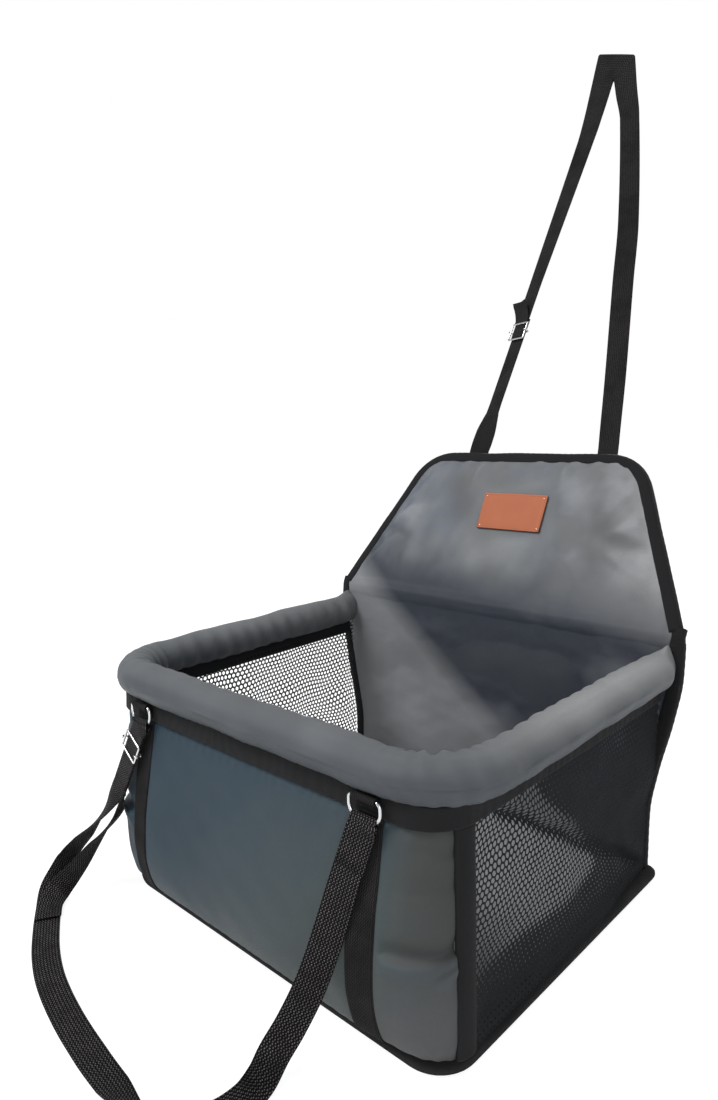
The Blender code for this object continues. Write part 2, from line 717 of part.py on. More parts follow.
def back_layers(prefix, outline, centre, crown, looks, face, place, parent=None, origin=None):
    """Face cloth, foam, board and rear cloth of a padded panel, front to back."""
    rear_inner = EDGE_HALF - CLOTH
    board_front = rear_inner - GAP - BACK_BOARD
    foam_front = CLOTH + GAP - EDGE_HALF
    layers = [
        ("cloth", rear_inner, EDGE_HALF, 0.0, 0.0, "black"),
        ("board", board_front, rear_inner - GAP, 0.0, 0.0, "board"),
        ("foam", foam_front, board_front - GAP, crown, 0.0, "foam"),
        ("face", -EDGE_HALF, CLOTH - EDGE_HALF, crown, crown, face),
    ]
    for name, front, back, swell, back_swell, look in layers:
        shape = crowned(outline, centre, front, back, place, -swell, -back_swell)
        build_object(f"{prefix}_{name}", *shape, looks[look], origin, parent, smooth=50)


def build_lower_back(looks):
    top = HINGE_HEIGHT - CREASE_HALF_GAP
    side = [(BACK_FOOT_HALF, WALL_FOOT), (BACK_FOOT_HALF, BACK_WAIST_HEIGHT),
            (BACK_HIP_HALF, BACK_HIP_HEIGHT), (BACK_HIP_HALF, top)]
    outline = side + [(-x, z) for x, z in side[::-1]]
    centre = (0.0, (WALL_FOOT + top) / 2)
    back_layers("lower_back", outline, centre, LOWER_CROWN, looks, "lining", panel_place)
    for sign, name in ((-1, "left"), (1, "right")):
        path = [((sign * x, z), (sign, 0.0)) for x, z in side]
        build_object(f"back_binding_{name}", *channel(path, panel_place), looks["black"], smooth=50)


def flap_edge():
    """Places and outward normals up the flap's right side, over the top and down its left."""
    foot = CREASE_HALF_GAP
    run = Vector((FLAP_TOP_HALF - BACK_HIP_HALF, FLAP_HEIGHT))
    lean = math.atan2(-run.x, run.y)
    normal = Vector((math.cos(lean), math.sin(lean)))
    cut = FLAP_CORNER * math.tan((QUARTER - lean) / 2)
    tangent_point = Vector((FLAP_TOP_HALF, FLAP_HEIGHT)) - run.normalized() * cut
    centre = tangent_point - normal * FLAP_CORNER
    start = Vector((BACK_HIP_HALF, 0.0)) + run * (foot / FLAP_HEIGHT)
    right = [((start.x, start.y), (normal.x, normal.y))]
    steps = FINE_ARC_STEPS
    for index in range(steps + 1):
        angle = lean + (QUARTER - lean) * index / steps
        out = Vector((math.cos(angle), math.sin(angle)))
        spot = centre + out * FLAP_CORNER
        right.append(((spot.x, spot.y), (out.x, out.y)))
    left = [((-x, z), (-a, b)) for (x, z), (a, b) in right[::-1]]
    return right + left


def flap_place(x, z, through):
    """A place in the folding panel's own frame: sideways, through it and up from the crease."""
    return (x, through, z)


def build_flap(looks, pivot):
    edge = flap_edge()
    outline = [spot for spot, normal in edge]
    centre = (0.0, CENTRE_HEIGHT)
    back_layers("flap", outline, centre, FLAP_CROWN, looks, "grey", flap_place, pivot)
    build_object("flap_binding", *channel(edge, flap_place), looks["black"], parent=pivot, smooth=50)
    patch_back = -EDGE_HALF - FLAP_CROWN - GAP
    half = PATCH_WIDTH / 2
    low = PATCH_UP - PATCH_HEIGHT / 2
    high = PATCH_UP + PATCH_HEIGHT / 2
    corners = [(PATCH_SIDEWAYS - half, low), (PATCH_SIDEWAYS + half, low),
               (PATCH_SIDEWAYS + half, high), (PATCH_SIDEWAYS - half, high)]
    patch = prism(corners, patch_back - PATCH_THICKNESS, patch_back, flap_place)
    build_object("leather_patch", *patch, looks["leather"], parent=pivot)


def build_crease(looks, pivot):
    """The fabric crease: a sewn bead on the hinge line and a strip of cloth on each side."""
    half = BACK_HIP_HALF
    edge = HINGE_HEIGHT - CREASE_HALF_GAP + GAP
    sides = 10
    cloth = CLOTH / 2
    start = math.asin(cloth / SEAM_RADIUS)
    turn = 2 * math.pi - 2 * start
    section = []
    for index in range(sides + 1):
        angle = start + turn * index / sides - QUARTER
        section.append((SEAM_RADIUS * math.cos(angle), SEAM_RADIUS * math.sin(angle)))
    section += [(-cloth, edge - HINGE_HEIGHT), (cloth, edge - HINGE_HEIGHT)]

    def across(through, up, x):
        return (x, HINGE_BACK + through, HINGE_HEIGHT + up)

    build_object("crease_seam", *prism(section, -half, half, across), looks["black"], smooth=50)
    low = SEAM_RADIUS + GAP
    strip = [(-half, low), (half, low), (half, CREASE_HALF_GAP - GAP), (-half, CREASE_HALF_GAP - GAP)]
    build_object("crease_cloth", *prism(strip, -cloth, cloth, flap_place), looks["black"], parent=pivot)


def ring_tab_section():
    """Side view of a tab: a tail on the band and a loop round the D-ring's bar."""
    swell = front_crown(RING_SPREAD, WALL_TOP - TAB_DEPTH)
    tail = -(2 * GAP + CLOTH + GAP + swell)
    loop = RING_WIRE + RING_RUNNING + TAB_WALL
    outward = -RING_STANDOFF
    start = math.radians(50)
    end = math.radians(285)
    turn = arc_points((outward, -RING_DROP), loop, start, end, 2 * FINE_ARC_STEPS)
    outline = [(tail, 0.0), (tail - TAB_WALL, 0.0)] + turn + [(tail, -TAB_DEPTH), (tail, -TAB_DEPTH / 2)]
    centre = Vector((outward, -RING_DROP))
    bore = [centre + (Vector(spot) - centre).normalized() * (loop - TAB_WALL) for spot in outline]
    return outline, bore


def ring_path():
    """The D-ring's wire: a straight bar on top and a round-cornered bow under it."""
    half = RING_HALF_WIDTH
    corners = [((half - RING_CORNER, -RING_CORNER), RING_CORNER, QUARTER),
               ((half - RING_BOW, RING_BOW - RING_HEIGHT), RING_BOW, 0.0),
               ((RING_BOW - half, RING_BOW - RING_HEIGHT), RING_BOW, -QUARTER),
               ((RING_CORNER - half, -RING_CORNER), RING_CORNER, 2 * QUARTER)]
    path = []
    for centre, radius, start in corners:
        path += arc_points(centre, radius, start, start - QUARTER, 4)
    return path


def build_rings(looks):
    outline, bore = ring_tab_section()
    for side, name in ((-1, "left"), (1, "right")):
        middle = side * RING_SPREAD

        def across(through, up, x, middle=middle):
            return (middle + x, FRONT_Y + through, WALL_TOP + up)

        half = WEBBING_WIDTH / 2
        tab = ring_wall(outline, bore, -half, half, across)
        build_object(f"ring_tab_{name}", *tab, looks["webbing"], smooth=50)
        origin = Vector((middle, RING_Y, RING_Z))
        wire = [origin + Vector((x, 0.0, z)) for x, z in ring_path()]
        shape = swept_tube(wire, (0.0, 1.0, 0.0), RING_WIRE, 8, closed=True)
        build_object(f"d_ring_{name}", *shape, looks["steel"], origin, smooth=60)


def strap_loop(side, direction, across, front_length, back_length):
    """A strap's end through a D-ring: up the back, over the wire and down the front."""
    seat = Vector((side * RING_SPREAD, RING_Y, RING_Z - STRAP_SEAT))
    reach = RING_WIRE + STRAP_RUNNING + WEBBING / 2
    outward = direction.cross(across).normalized()
    if outward.y > 0:
        outward = -outward
    sideways = Vector((1.0, 0.0, 0.0))
    front = Vector((0.0, -1.0, 0.0))
    settled = seat + direction * LOOP_RUN_IN
    below = Vector((0.0, 0.0, -STRAP_STRAIGHT))
    route = [(settled + direction * (back_length - LOOP_RUN_IN) - outward * LAYER_PITCH / 2, across)]
    route.append((settled - outward * LAYER_PITCH / 2, across))
    route.append((seat - front * reach + below, sideways))
    for index in range(FINE_ARC_STEPS + 1):
        angle = math.pi * index / FINE_ARC_STEPS
        spot = seat - front * reach * math.cos(angle) + Vector((0.0, 0.0, reach * math.sin(angle)))
        route.append((spot, sideways))
    route.append((seat + front * reach + below, sideways))
    route.append((settled + outward * LAYER_PITCH / 2, across))
    route.append((settled + direction * (front_length - LOOP_RUN_IN) + outward * LAYER_PITCH / 2, across))
    return route, seat, outward


def slider_pieces(name, centre, across, along, outward, stack, height, looks, parent=None):
    """A wire frame in front of the strap and a bar behind it that hooks round the frame."""
    half = SLIDER_INSIDE / 2 + SLIDER_WIRE
    rise = height / 2
    ahead = stack / 2 + GAP + SLIDER_WIRE
    behind = stack / 2 + GAP + SLIDER_BAR
    corner = SLIDER_CORNER
    loop = arc_points((half - corner, rise - corner), corner, 0.0, QUARTER, 3)
    loop += arc_points((corner - half, rise - corner), corner, QUARTER, 2 * QUARTER, 3)
    loop += arc_points((corner - half, corner - rise), corner, 2 * QUARTER, 3 * QUARTER, 3)
    loop += arc_points((half - corner, corner - rise), corner, 3 * QUARTER, 4 * QUARTER, 3)
    wire = [centre + across * x + along * z + outward * ahead for x, z in loop]
    frame = swept_tube(wire, outward, SLIDER_WIRE, 8, closed=True)
    build_object(f"{name}_slider_frame", *frame, looks["steel"], centre, parent, smooth=60)
    hook = SLIDER_WIRE + GAP + SLIDER_BAR
    turn = arc_points((half, ahead), hook, 2 * QUARTER, -QUARTER, 2 * FINE_ARC_STEPS)
    turn = [spot for spot in turn if spot[0] >= half]
    low = (half - hook, -behind)
    right = turn + [(half + hook / 2, -behind + hook / 2), low]
    left = [(-x, z) for x, z in right[::-1]]
    bar = [centre + across * x + outward * z for x, z in right + left]
    shape = swept_tube(bar, along, SLIDER_BAR, 8)
    build_object(f"{name}_slider_bar", *shape, looks["steel"], centre, parent, smooth=60)


def build_shoulder_strap(looks):
    across = LEFT_STRAP_ACROSS.normalized()
    along = LEFT_STRAP_DIRECTION
    across = (across - along * across.dot(along)).normalized()
    left, seat, outward = strap_loop(-1, along, across, LEFT_DOUBLE_LENGTH, LEFT_DOUBLE_LENGTH)
    hinge = Vector((-RING_SPREAD, RING_Y, RING_Z))
    build_object("strap_end_left", *ribbon(left, WEBBING_WIDTH, WEBBING), looks["webbing"], hinge)
    centre = seat + along * SHOULDER_SLIDER_AT
    stack = LAYER_PITCH + WEBBING
    slider_pieces("shoulder", centre, across, along, outward, stack, SLIDER_HEIGHT, looks)
    right_top = Vector((RING_SPREAD, RING_Y, RING_Z - STRAP_SEAT))
    right_foot, right_across = (Vector(part) for part in STRAP_ROUTE[-1])
    down = (right_foot - right_top).normalized()
    turned = Vector((1.0, 0.0, 0.0)).lerp(right_across.normalized(), 0.5)
    turned = (turned - down * turned.dot(down)).normalized()
    length = (right_foot - right_top).length
    right, seat, outward = strap_loop(1, down, turned, length * 0.6, RIGHT_DOUBLE_LENGTH)
    hinge = Vector((RING_SPREAD, RING_Y, RING_Z))
    build_object("strap_end_right", *ribbon(right, WEBBING_WIDTH, WEBBING), looks["webbing"], hinge)
    start, start_across = left[-1]
    end, end_across = right[-1]
    first = (start + along * GAP, -start_across)
    last = (end + (right[-1][0] - right[-2][0]).normalized() * GAP, end_across)
    lead_in = (start + along * 4 * WEBBING, -start_across)
    lead_out = (last[0] + (last[0] - end).normalized() * 4 * WEBBING, end_across)
    route = smooth_route([first, lead_in] + STRAP_ROUTE[:-1] + [lead_out, last], 3)
    build_object("strap_main", *ribbon(route, WEBBING_WIDTH, WEBBING), looks["webbing"])
    tail_start, tail_across = left[0]
    tail = [(tail_start + along * GAP, tail_across), (tail_start + along * 4 * WEBBING, tail_across)]
    route = smooth_route(tail + TAIL_ROUTE, 3)
    build_object("strap_tail", *ribbon(route, WEBBING_WIDTH, WEBBING), looks["webbing"])


def twisted(angle):
    return Vector((math.cos(angle), math.sin(angle), 0.0))


def build_headrest_strap(looks, pivot):
    along = (LEFT_HEAD - LEFT_FOOT).normalized()

    def on_leg(up, layer):
        spot = LEFT_FOOT + along * ((up - LEFT_FOOT.z) / along.z)
        return spot + outward * LAYER_PITCH * layer

    across = twisted(HEADREST_TWIST)
    across = (across - along * across.dot(along)).normalized()
    outward = across.cross(along).normalized()
    if outward.y > 0:
        outward = -outward
    flat_across = twisted(0.0)
    sewn = Vector((LEFT_FOOT.x, HEADREST_BEHIND, HEADREST_SEWN_UP))
    lower = [(sewn, flat_across), (LEFT_FOOT, flat_across),
             (on_leg(HEADREST_SETTLED, 0), across), (on_leg(HEADREST_LAP_BELOW, 0), across),
             (on_leg(HEADREST_LAP_ABOVE, 0), across)]
    shape = ribbon(smooth_route(lower, 3), WEBBING_WIDTH, WEBBING)
    build_object("headrest_strap_left", *shape, looks["webbing"], parent=pivot)
    upper = [(on_leg(HEADREST_LAP_BELOW, 1), across), (on_leg(HEADREST_LAP_ABOVE, 1), across)]
    upper += [(Vector(spot), twisted(math.radians(turn))) for spot, turn in APEX_ROUTE]
    shape = ribbon(smooth_route(upper, 3), WEBBING_WIDTH, WEBBING)
    build_object("headrest_strap_over", *shape, looks["webbing"], parent=pivot)
    centre = on_leg(HEADREST_SLIDER_UP, 0.5)
    stack = LAYER_PITCH + WEBBING
    slider_pieces("headrest", centre, across, along, outward, stack, HEADREST_SLIDER_HEIGHT,
                  looks, pivot)
    start = centre + along * (HEADREST_SLIDER_HEIGHT / 2 + SLIDER_WIRE + GAP)
    start = start + outward * (stack / 2 + GAP + SLIDER_WIRE)
    tip = start + along * HEADREST_TAIL_LENGTH + outward * HEADREST_TAIL_LEAN - across * HEADREST_TAIL_LEAN
    near = start + along * 3 * WEBBING
    far = near.lerp(tip, 0.5) - outward * WEBBING
    tail = [(start, across), (near, across), (far, across), (tip, across)]
    build_object("headrest_strap_tail", *ribbon(tail, WEBBING_WIDTH, WEBBING), looks["webbing"], centre, pivot)


def main():
    for found in list(bpy.data.objects):
        bpy.data.objects.remove(found)
    looks = make_materials()
    pivot = bpy.data.objects.new("flap_pivot", None)
    pivot.location = (0.0, HINGE_BACK, HINGE_HEIGHT)
    pivot.rotation_euler = (-BACK_LEAN, 0.0, 0.0)
    bpy.context.scene.collection.objects.link(pivot)
    build_base(looks)
    build_front(looks)
    build_corner_bindings(looks)
    build_webbings(looks)
    build_rim_band(looks)
    build_nets(looks)
    build_rim(looks)
    build_lower_back(looks)
    build_crease(looks, pivot)
    build_flap(looks, pivot)
    build_rings(looks)
    build_shoulder_strap(looks)
    build_headrest_strap(looks, pivot)


main()
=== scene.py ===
"""Dresses the dog car seat's frame: padded cloth, nets, bindings, webbing, a leather patch and
bright wire fittings, with a plain stage, soft light and a camera. Lengths are metres."""

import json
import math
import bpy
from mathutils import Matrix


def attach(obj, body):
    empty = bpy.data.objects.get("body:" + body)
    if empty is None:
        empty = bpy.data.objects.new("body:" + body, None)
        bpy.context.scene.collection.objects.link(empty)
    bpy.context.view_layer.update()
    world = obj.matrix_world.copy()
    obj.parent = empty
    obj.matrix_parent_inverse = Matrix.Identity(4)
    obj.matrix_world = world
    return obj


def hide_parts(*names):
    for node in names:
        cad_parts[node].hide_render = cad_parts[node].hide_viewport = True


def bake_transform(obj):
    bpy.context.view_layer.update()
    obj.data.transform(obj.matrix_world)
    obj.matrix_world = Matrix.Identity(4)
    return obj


bl_info = {
    "name": "Dog car seat",
    "version": (1, 0, 0),
    "blender": (4, 5, 0),
    "location": "3D View > Sidebar > Car seat",
    "description": "Builds the cloth, nets, straps and fittings of a dog car seat round its frame",
    "category": "Add Mesh",
}

import bpy
import numpy as np
from bpy.props import FloatProperty, FloatVectorProperty, PointerProperty
from mathutils import Matrix, Vector

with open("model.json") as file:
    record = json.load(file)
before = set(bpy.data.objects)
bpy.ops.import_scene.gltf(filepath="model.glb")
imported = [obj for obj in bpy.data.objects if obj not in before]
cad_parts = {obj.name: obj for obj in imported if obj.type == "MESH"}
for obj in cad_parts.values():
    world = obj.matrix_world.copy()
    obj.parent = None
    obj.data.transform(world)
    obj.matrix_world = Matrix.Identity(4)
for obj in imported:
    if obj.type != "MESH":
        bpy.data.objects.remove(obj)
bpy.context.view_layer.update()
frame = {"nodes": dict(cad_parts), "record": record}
NODES = frame["nodes"]

TAU = 2 * math.pi

# Photograph
PHOTO_HEIGHT = 1100
FOCAL_PIXELS = 790.43
CAMERA_PLACE = (0.5208, -0.5800, 0.4807)
CAMERA_YAW = 43.55
CAMERA_PITCH = 9.21
CAMERA_ROLL = -1.61

# Stage: each light's name, place, aim, width and power
LIGHTS = (("key", (-0.7, -1.2, 1.9), (0.0, 0.0, 0.2), 1.1, 36.0),
          ("fill", (1.7, -1.2, 0.9), (0.0, 0.0, 0.2), 1.4, 11.0),
          ("back", (0.4, 1.9, 1.6), (0.0, 0.1, 0.4), 1.2, 12.0))
FLOOR_REACH = 12.0
FLOOR_HEIGHT = -0.0006
FLOOR_GLOW = 1.45
FLOOR_GLOW_SHARE = 0.60
AMBIENT = 0.44

# Small gap that keeps touching pieces apart
CLOTH_GAP = 0.0003

# Basket
BASE_WIDTH = 0.430
BASE_DEPTH = 0.365
BASE_CORNER = 0.036
BASE_TOP = 0.0123
# The base's bound edge: outward from its outline, and up
BASE_SECTION = ((-0.150, 0.0), (-0.060, 0.0), (-0.014, 0.0), (-0.004, 0.0002), (-0.0012, 0.0014),
                (0.0, 0.0040), (0.0006, 0.0066), (0.0002, 0.0092), (-0.0018, 0.0112), (-0.0045, BASE_TOP),
                (-0.0085, 0.0119), (-0.0110, 0.0096), (-0.0113, 0.0060))
BASE_EDGE_WIDTH = 0.014
BASE_UNDER_REACH = 0.15
BASE_CLOTH_TOP = 0.0023
# The cushion: share of its outline, height, and whether it is soft there
CUSHION_SECTION = ((0.04, 0.0060, 0), (0.97, 0.0060, 0), (0.995, 0.0090, 0), (1.0, 0.0130, 0),
                   (0.992, 0.0185, 0), (0.965, 0.0211, 0), (0.93, 0.0228, 1), (0.86, 0.0246, 1),
                   (0.76, 0.0258, 1), (0.60, 0.0266, 1), (0.40, 0.0268, 1), (0.20, 0.0268, 1),
                   (0.03, 0.0268, 1))
CUSHION_INSET = 0.0165
FRONT_Y = -BASE_DEPTH / 2

# Front wall and the tape under the rim
WALL_FOOT = 0.0126
WALL_TOP = 0.2117
BAND_HEIGHT = 0.014
BAND_FOOT = WALL_TOP - BAND_HEIGHT
WALL_ROWS = 130
STITCH_GATHER = 0.0125
STRAIGHT_HALF = BASE_WIDTH / 2 - BASE_CORNER
CORNER_END = STRAIGHT_HALF + BASE_CORNER * math.pi / 2
BINDING_WIDTH = 0.018
FACE_END = CORNER_END - BINDING_WIDTH
BAND_END = CORNER_END + 0.318
FRONT_CROWN = 0.023
CROWN_FLAT_WIDTH = 0.120
CROWN_RISE_POWER = 0.56
WALL_DEPTH = 0.0119
# Creases where the padded front turns its corners: height, depth, width, slope, and where it starts
CORNER_CREASES = ((0.100, 0.0046, 0.0030, 0.05, 0.160), (0.084, 0.0020, 0.0022, 0.30, 0.196),
                  (0.150, 0.0012, 0.0060, 0.10, 0.170), (0.181, 0.0014, 0.0045, -0.15, 0.182))
CORNER_CREASES_FROM = 0.160
RING_SPREAD = 0.150

# Rim
RIM_HEIGHT = 0.231
RIM_RADIUS = 0.019
RIM_CORNER = 0.057
RIM_HALF = BASE_WIDTH / 2 + 0.002
RIM_FRONT = FRONT_Y + 0.003
RIM_GATHER = 0.0135
RIM_STITCH = 0.0092
# How far from its rear ends the rim is pinched flat, and how high it peaks there
RIM_PINCH = 0.024
RIM_END_PEAK = 0.0058

# Nets: share of a hole that the knit closes where it is slack
NET_CLOSING = 0.48

# Back panels and the crease that they fold on
HINGE_HEIGHT = 0.262
HINGE_BACK = 0.1835
RECLINE = math.radians(2.3)
BACK_LEAN = math.radians(27.5)
CREASE_HALF_GAP = 0.0065
BACK_FOOT_HALF = 0.2055
BACK_WAIST_HEIGHT = 0.085
BACK_HIP_HEIGHT = 0.210
BACK_HIP_HALF = 0.2325
PANEL_HALF = 0.00435
BIAS_HALF = 0.00565
# The folded binding's section: outward from the panel's edge, and through the panel
BINDING_SECTION = ((-0.0120, -0.0040), (-0.0116, -0.0054), (-0.0104, -0.0060), (-0.0066, -0.0063),
                   (-0.0024, -0.0059), (-0.0002, -0.0050), (0.0012, -0.0031), (0.0016, 0.0), (0.0012, 0.0031),
                   (-0.0002, 0.0050), (-0.0024, 0.00565), (-0.0066, 0.00565), (-0.0120, 0.0052),
                   (-0.0120, 0.0026))
BINDING_GATHER = 0.0085
FLAP_TOP_HALF = 0.1475
FLAP_HEIGHT = 0.1945
FLAP_CORNER = 0.060
FLAP_CROWN = 0.008
# How far the cloth over the fold stands proud of the panels, from its middle outward
CREASE_PROFILE = (0.0002, 0.0004, 0.0006, 0.0004, -0.0002, -0.0024)
# Soft creases of the folding panel: sideways, up, slant, half length, width and height
FLAP_CREASES = ((0.160, 0.110, 205, 0.055, 0.0060, 0.0022), (0.158, 0.090, 172, 0.050, 0.0070, -0.0024),
                (0.150, 0.070, 150, 0.060, 0.0080, 0.0020), (0.140, 0.140, 230, 0.045, 0.0060, 0.0016),
                (-0.150, 0.105, 15, 0.060, 0.0080, 0.0020), (-0.170, 0.080, -12, 0.055, 0.0070, -0.0018),
                (-0.060, 0.170, 80, 0.030, 0.0050, 0.0012), (0.060, 0.172, 100, 0.030, 0.0050, 0.0012))
PATCH_WIDTH = 0.086
PATCH_HEIGHT = 0.046
PATCH_THICKNESS = 0.0016
# The patch's edge: inward from its outline, share of its thickness, and how dark or pale it is; the pale ring
# where the edge rounds over is a painted highlight
PATCH_SECTION = ((0.0, 0.0, -0.9), (0.0, 0.55, -0.9), (0.0, 0.85, 0.15), (0.0004, 1.0, 0.35),
                 (0.0012, 1.0, 0.0), (0.0022, 0.93, -0.12), (0.0030, 1.0, 0.0), (0.010, 1.03, 0.0),
                 (0.020, 1.04, 0.0))
PIN_INSET = 0.004
# A pin's head: radius and height
PIN_SECTION = ((0.0009, 0.0), (0.0009, 0.0005), (0.0006, 0.0008), (0.0002, 0.0009))
PATCH_SIDEWAYS = 0.009
PATCH_UP = 0.114

# D-rings
RING_Y = FRONT_Y - 0.0095
RING_Z = WALL_TOP - 0.0003
RING_WIRE = 0.0014
RING_HALF_WIDTH = 0.0156
RING_HEIGHT = 0.017
RING_CORNER = 0.0042
RING_BOW = 0.0094

# Straps
STRAP_WIDTH = 0.025
STRAP_THICKNESS = 0.0014
LAYER_PITCH = 0.00175
DOUBLED_HALF = (LAYER_PITCH + STRAP_THICKNESS) / 2 + CLOTH_GAP
LOOP_RUN_IN = 0.011
STRAP_STRAIGHT = 0.0028
TURN_STEPS = 12
LEFT_STRAP_DIRECTION = Vector((-0.412, -0.126, -0.9025)).normalized()
LEFT_STRAP_ACROSS = Vector((0.915, -0.138, -0.379))
LEFT_DOUBLE_LENGTH = 0.076
SHOULDER_SLIDER_AT = 0.031
RIGHT_DOUBLE_LENGTH = 0.030
RIGHT_LONG_SHARE = 0.6
SLIDER_WIRE = 0.0011
SLIDER_BAR = 0.0009
SLIDER_CORNER = 0.002
SLIDER_INSIDE = 0.0275
SLIDER_HEIGHT = 0.019
HEADREST_SLIDER_HEIGHT = 0.022
HEADREST_BEHIND = 0.0066
HEADREST_SEWN_UP = 0.160
LEFT_FOOT = Vector((-0.0778, HEADREST_BEHIND, 0.2040))
LEFT_HEAD = Vector((-0.0262, -0.0245, 0.6440))
HEADREST_TWIST = -19
# How the headrest strap turns above the folding panel: way up and turn in degrees
HEADREST_FOOT_TURNS = ((0.214, 26), (0.228, 20), (0.243, -2), (0.256, -17), (0.268, -19))
HEADREST_FOOT_TWIST = 20
HEADREST_SLIDER_UP = 0.368
HEADREST_LAP_BELOW = 0.358
HEADREST_LAP_ABOVE = 0.432
HEADREST_LEG_END = 0.385

# Route of the shoulder strap: place, then the direction across the strap
STRAP_ROUTE = [
    ((-0.1864, -0.2053, 0.1153), (-0.90, 0.17, 0.39)),
    ((-0.1955, -0.2095, 0.1020), (-0.77, 0.48, 0.42)),
    ((-0.2159, -0.2120, 0.0789), (-0.48, 0.86, 0.20)),
    ((-0.2370, -0.2200, 0.0538), (-0.14, 0.96, -0.24)),
    ((-0.2543, -0.2290, 0.0317), (-0.09, 0.90, -0.43)),
    ((-0.2546, -0.2400, 0.0160), (0.35, 0.77, -0.54)),
    ((-0.2480, -0.2540, 0.0052), (0.50, 0.80, -0.30)),
    ((-0.2250, -0.2690, 0.0016), (0.52, 0.85, -0.06)),
    ((-0.1950, -0.2860, 0.0010), (0.45, 0.89, 0.0)),
    ((-0.1560, -0.3050, 0.0010), (0.38, 0.92, 0.0)),
    ((-0.1160, -0.3190, 0.0010), (0.30, 0.95, 0.0)),
    ((-0.0640, -0.3300, 0.0010), (0.18, 0.98, 0.0)),
    ((-0.0100, -0.3370, 0.0010), (0.09, 0.99, 0.0)),
    ((0.0250, -0.3400, 0.0014), (0.05, 0.99, -0.10)),
    ((0.0560, -0.3440, 0.0070), (0.05, 0.82, -0.55)),
    ((0.0880, -0.3400, 0.0124), (-0.10, 0.35, -0.92)),
    ((0.1110, -0.3180, 0.0136), (-0.12, 0.05, -0.99)),
    ((0.1180, -0.2930, 0.0124), (0.30, 0.16, -0.90)),
    ((0.1125, -0.2700, 0.0104), (0.66, 0.33, -0.66)),
    ((0.1070, -0.2520, 0.0170), (0.80, 0.36, -0.48)),
    ((0.1110, -0.2380, 0.0340), (0.81, 0.40, -0.43)),
    ((0.1200, -0.2250, 0.0640), (0.80, 0.45, -0.39)),
    ((0.1275, -0.2130, 0.1000), (0.80, 0.50, -0.33)),
    ((0.1340, -0.2055, 0.1320), (0.84, 0.48, -0.30)),
]
TAIL_ROUTE = [
    ((-0.1858, -0.2003, 0.1146), (0.90, -0.17, -0.39)),
    ((-0.1855, -0.1995, 0.1030), (0.80, -0.45, -0.42)),
    ((-0.1951, -0.2080, 0.0817), (0.64, -0.73, -0.23)),
    ((-0.2120, -0.2170, 0.0594), (0.42, -0.90, 0.12)),
    ((-0.2207, -0.2250, 0.0438), (0.29, -0.89, 0.36)),
    ((-0.2273, -0.2340, 0.0294), (0.09, -0.84, 0.54)),
    ((-0.2318, -0.2440, 0.0180), (-0.20, -0.80, 0.50)),
    ((-0.2315, -0.2560, 0.0098), (-0.42, -0.86, 0.25)),
    ((-0.2215, -0.2690, 0.0050), (-0.52, -0.85, 0.06)),
    ((-0.2040, -0.2800, 0.0036), (-0.49, -0.87, 0.0)),
]
# Routes of the headrest strap in the folding panel's frame: sideways, through and up, with its twist
LOOP_LEFT = [((-0.0262, -0.0245, 0.6440), 0)]
# Its flat fold at the top, each place with the way from the outer edge to the inner, in half widths
LOOP_FOLD = [
    ((-0.0239, -0.0268, 0.6780), (1.09, 0.02, -0.35)),
    ((-0.0227, -0.0295, 0.7165), (1.22, 0.08, -1.16)),
    ((-0.0219, -0.0319, 0.7500), (1.31, 0.15, -2.14)),
    ((-0.0209, -0.0319, 0.7512), (1.22, 0.15, -2.18)),
    ((0.0055, -0.0312, 0.7415), (-0.80, 0.09, -1.36)),
    ((0.0070, -0.0310, 0.7390), (-0.92, 0.09, -1.22)),
    ((0.0169, -0.0280, 0.7035), (-1.07, 0.02, -0.36)),
]
LOOP_RIGHT = [
    ((0.0290, -0.0230, 0.6620), 190),
    ((0.0598, -0.0115, 0.5060), 204),
    ((0.0705, -0.0060, 0.4230), 196),
    ((0.0880, 0.0010, 0.3000), 189),
    ((0.0965, 0.0056, 0.2300), 182),
    ((0.1000, 0.0066, 0.2040), 180),
    ((0.1050, 0.0066, 0.1600), 180),
]


# ---------------------------------------------------------------- shader values


class Value:
    """A shader value: arithmetic on it adds the nodes that work it out."""

    def __init__(self, finish, socket):
        self.finish = finish
        self.socket = socket

    def math(self, operation, other=None, swapped=False):
        pair = (other, self) if swapped else (self, other)
        sockets = {index: value for index, value in enumerate(pair) if value is not None}
        return self.finish.node("ShaderNodeMath", {"operation": operation}, sockets)

    def __add__(self, other):
        return self.math("ADD", other)

    def __sub__(self, other):
        return self.math("SUBTRACT", other)

    def __rsub__(self, other):
        return self.math("SUBTRACT", other, True)

    def __mul__(self, other):
        return self.math("MULTIPLY", other)

    def __pow__(self, other):
        return self.math("POWER", other)

    __radd__ = __add__
    __rmul__ = __mul__

    def sine(self):
        return self.math("SINE")

    def clipped(self):
        return self.finish.node("ShaderNodeClamp", {}, {0: self})


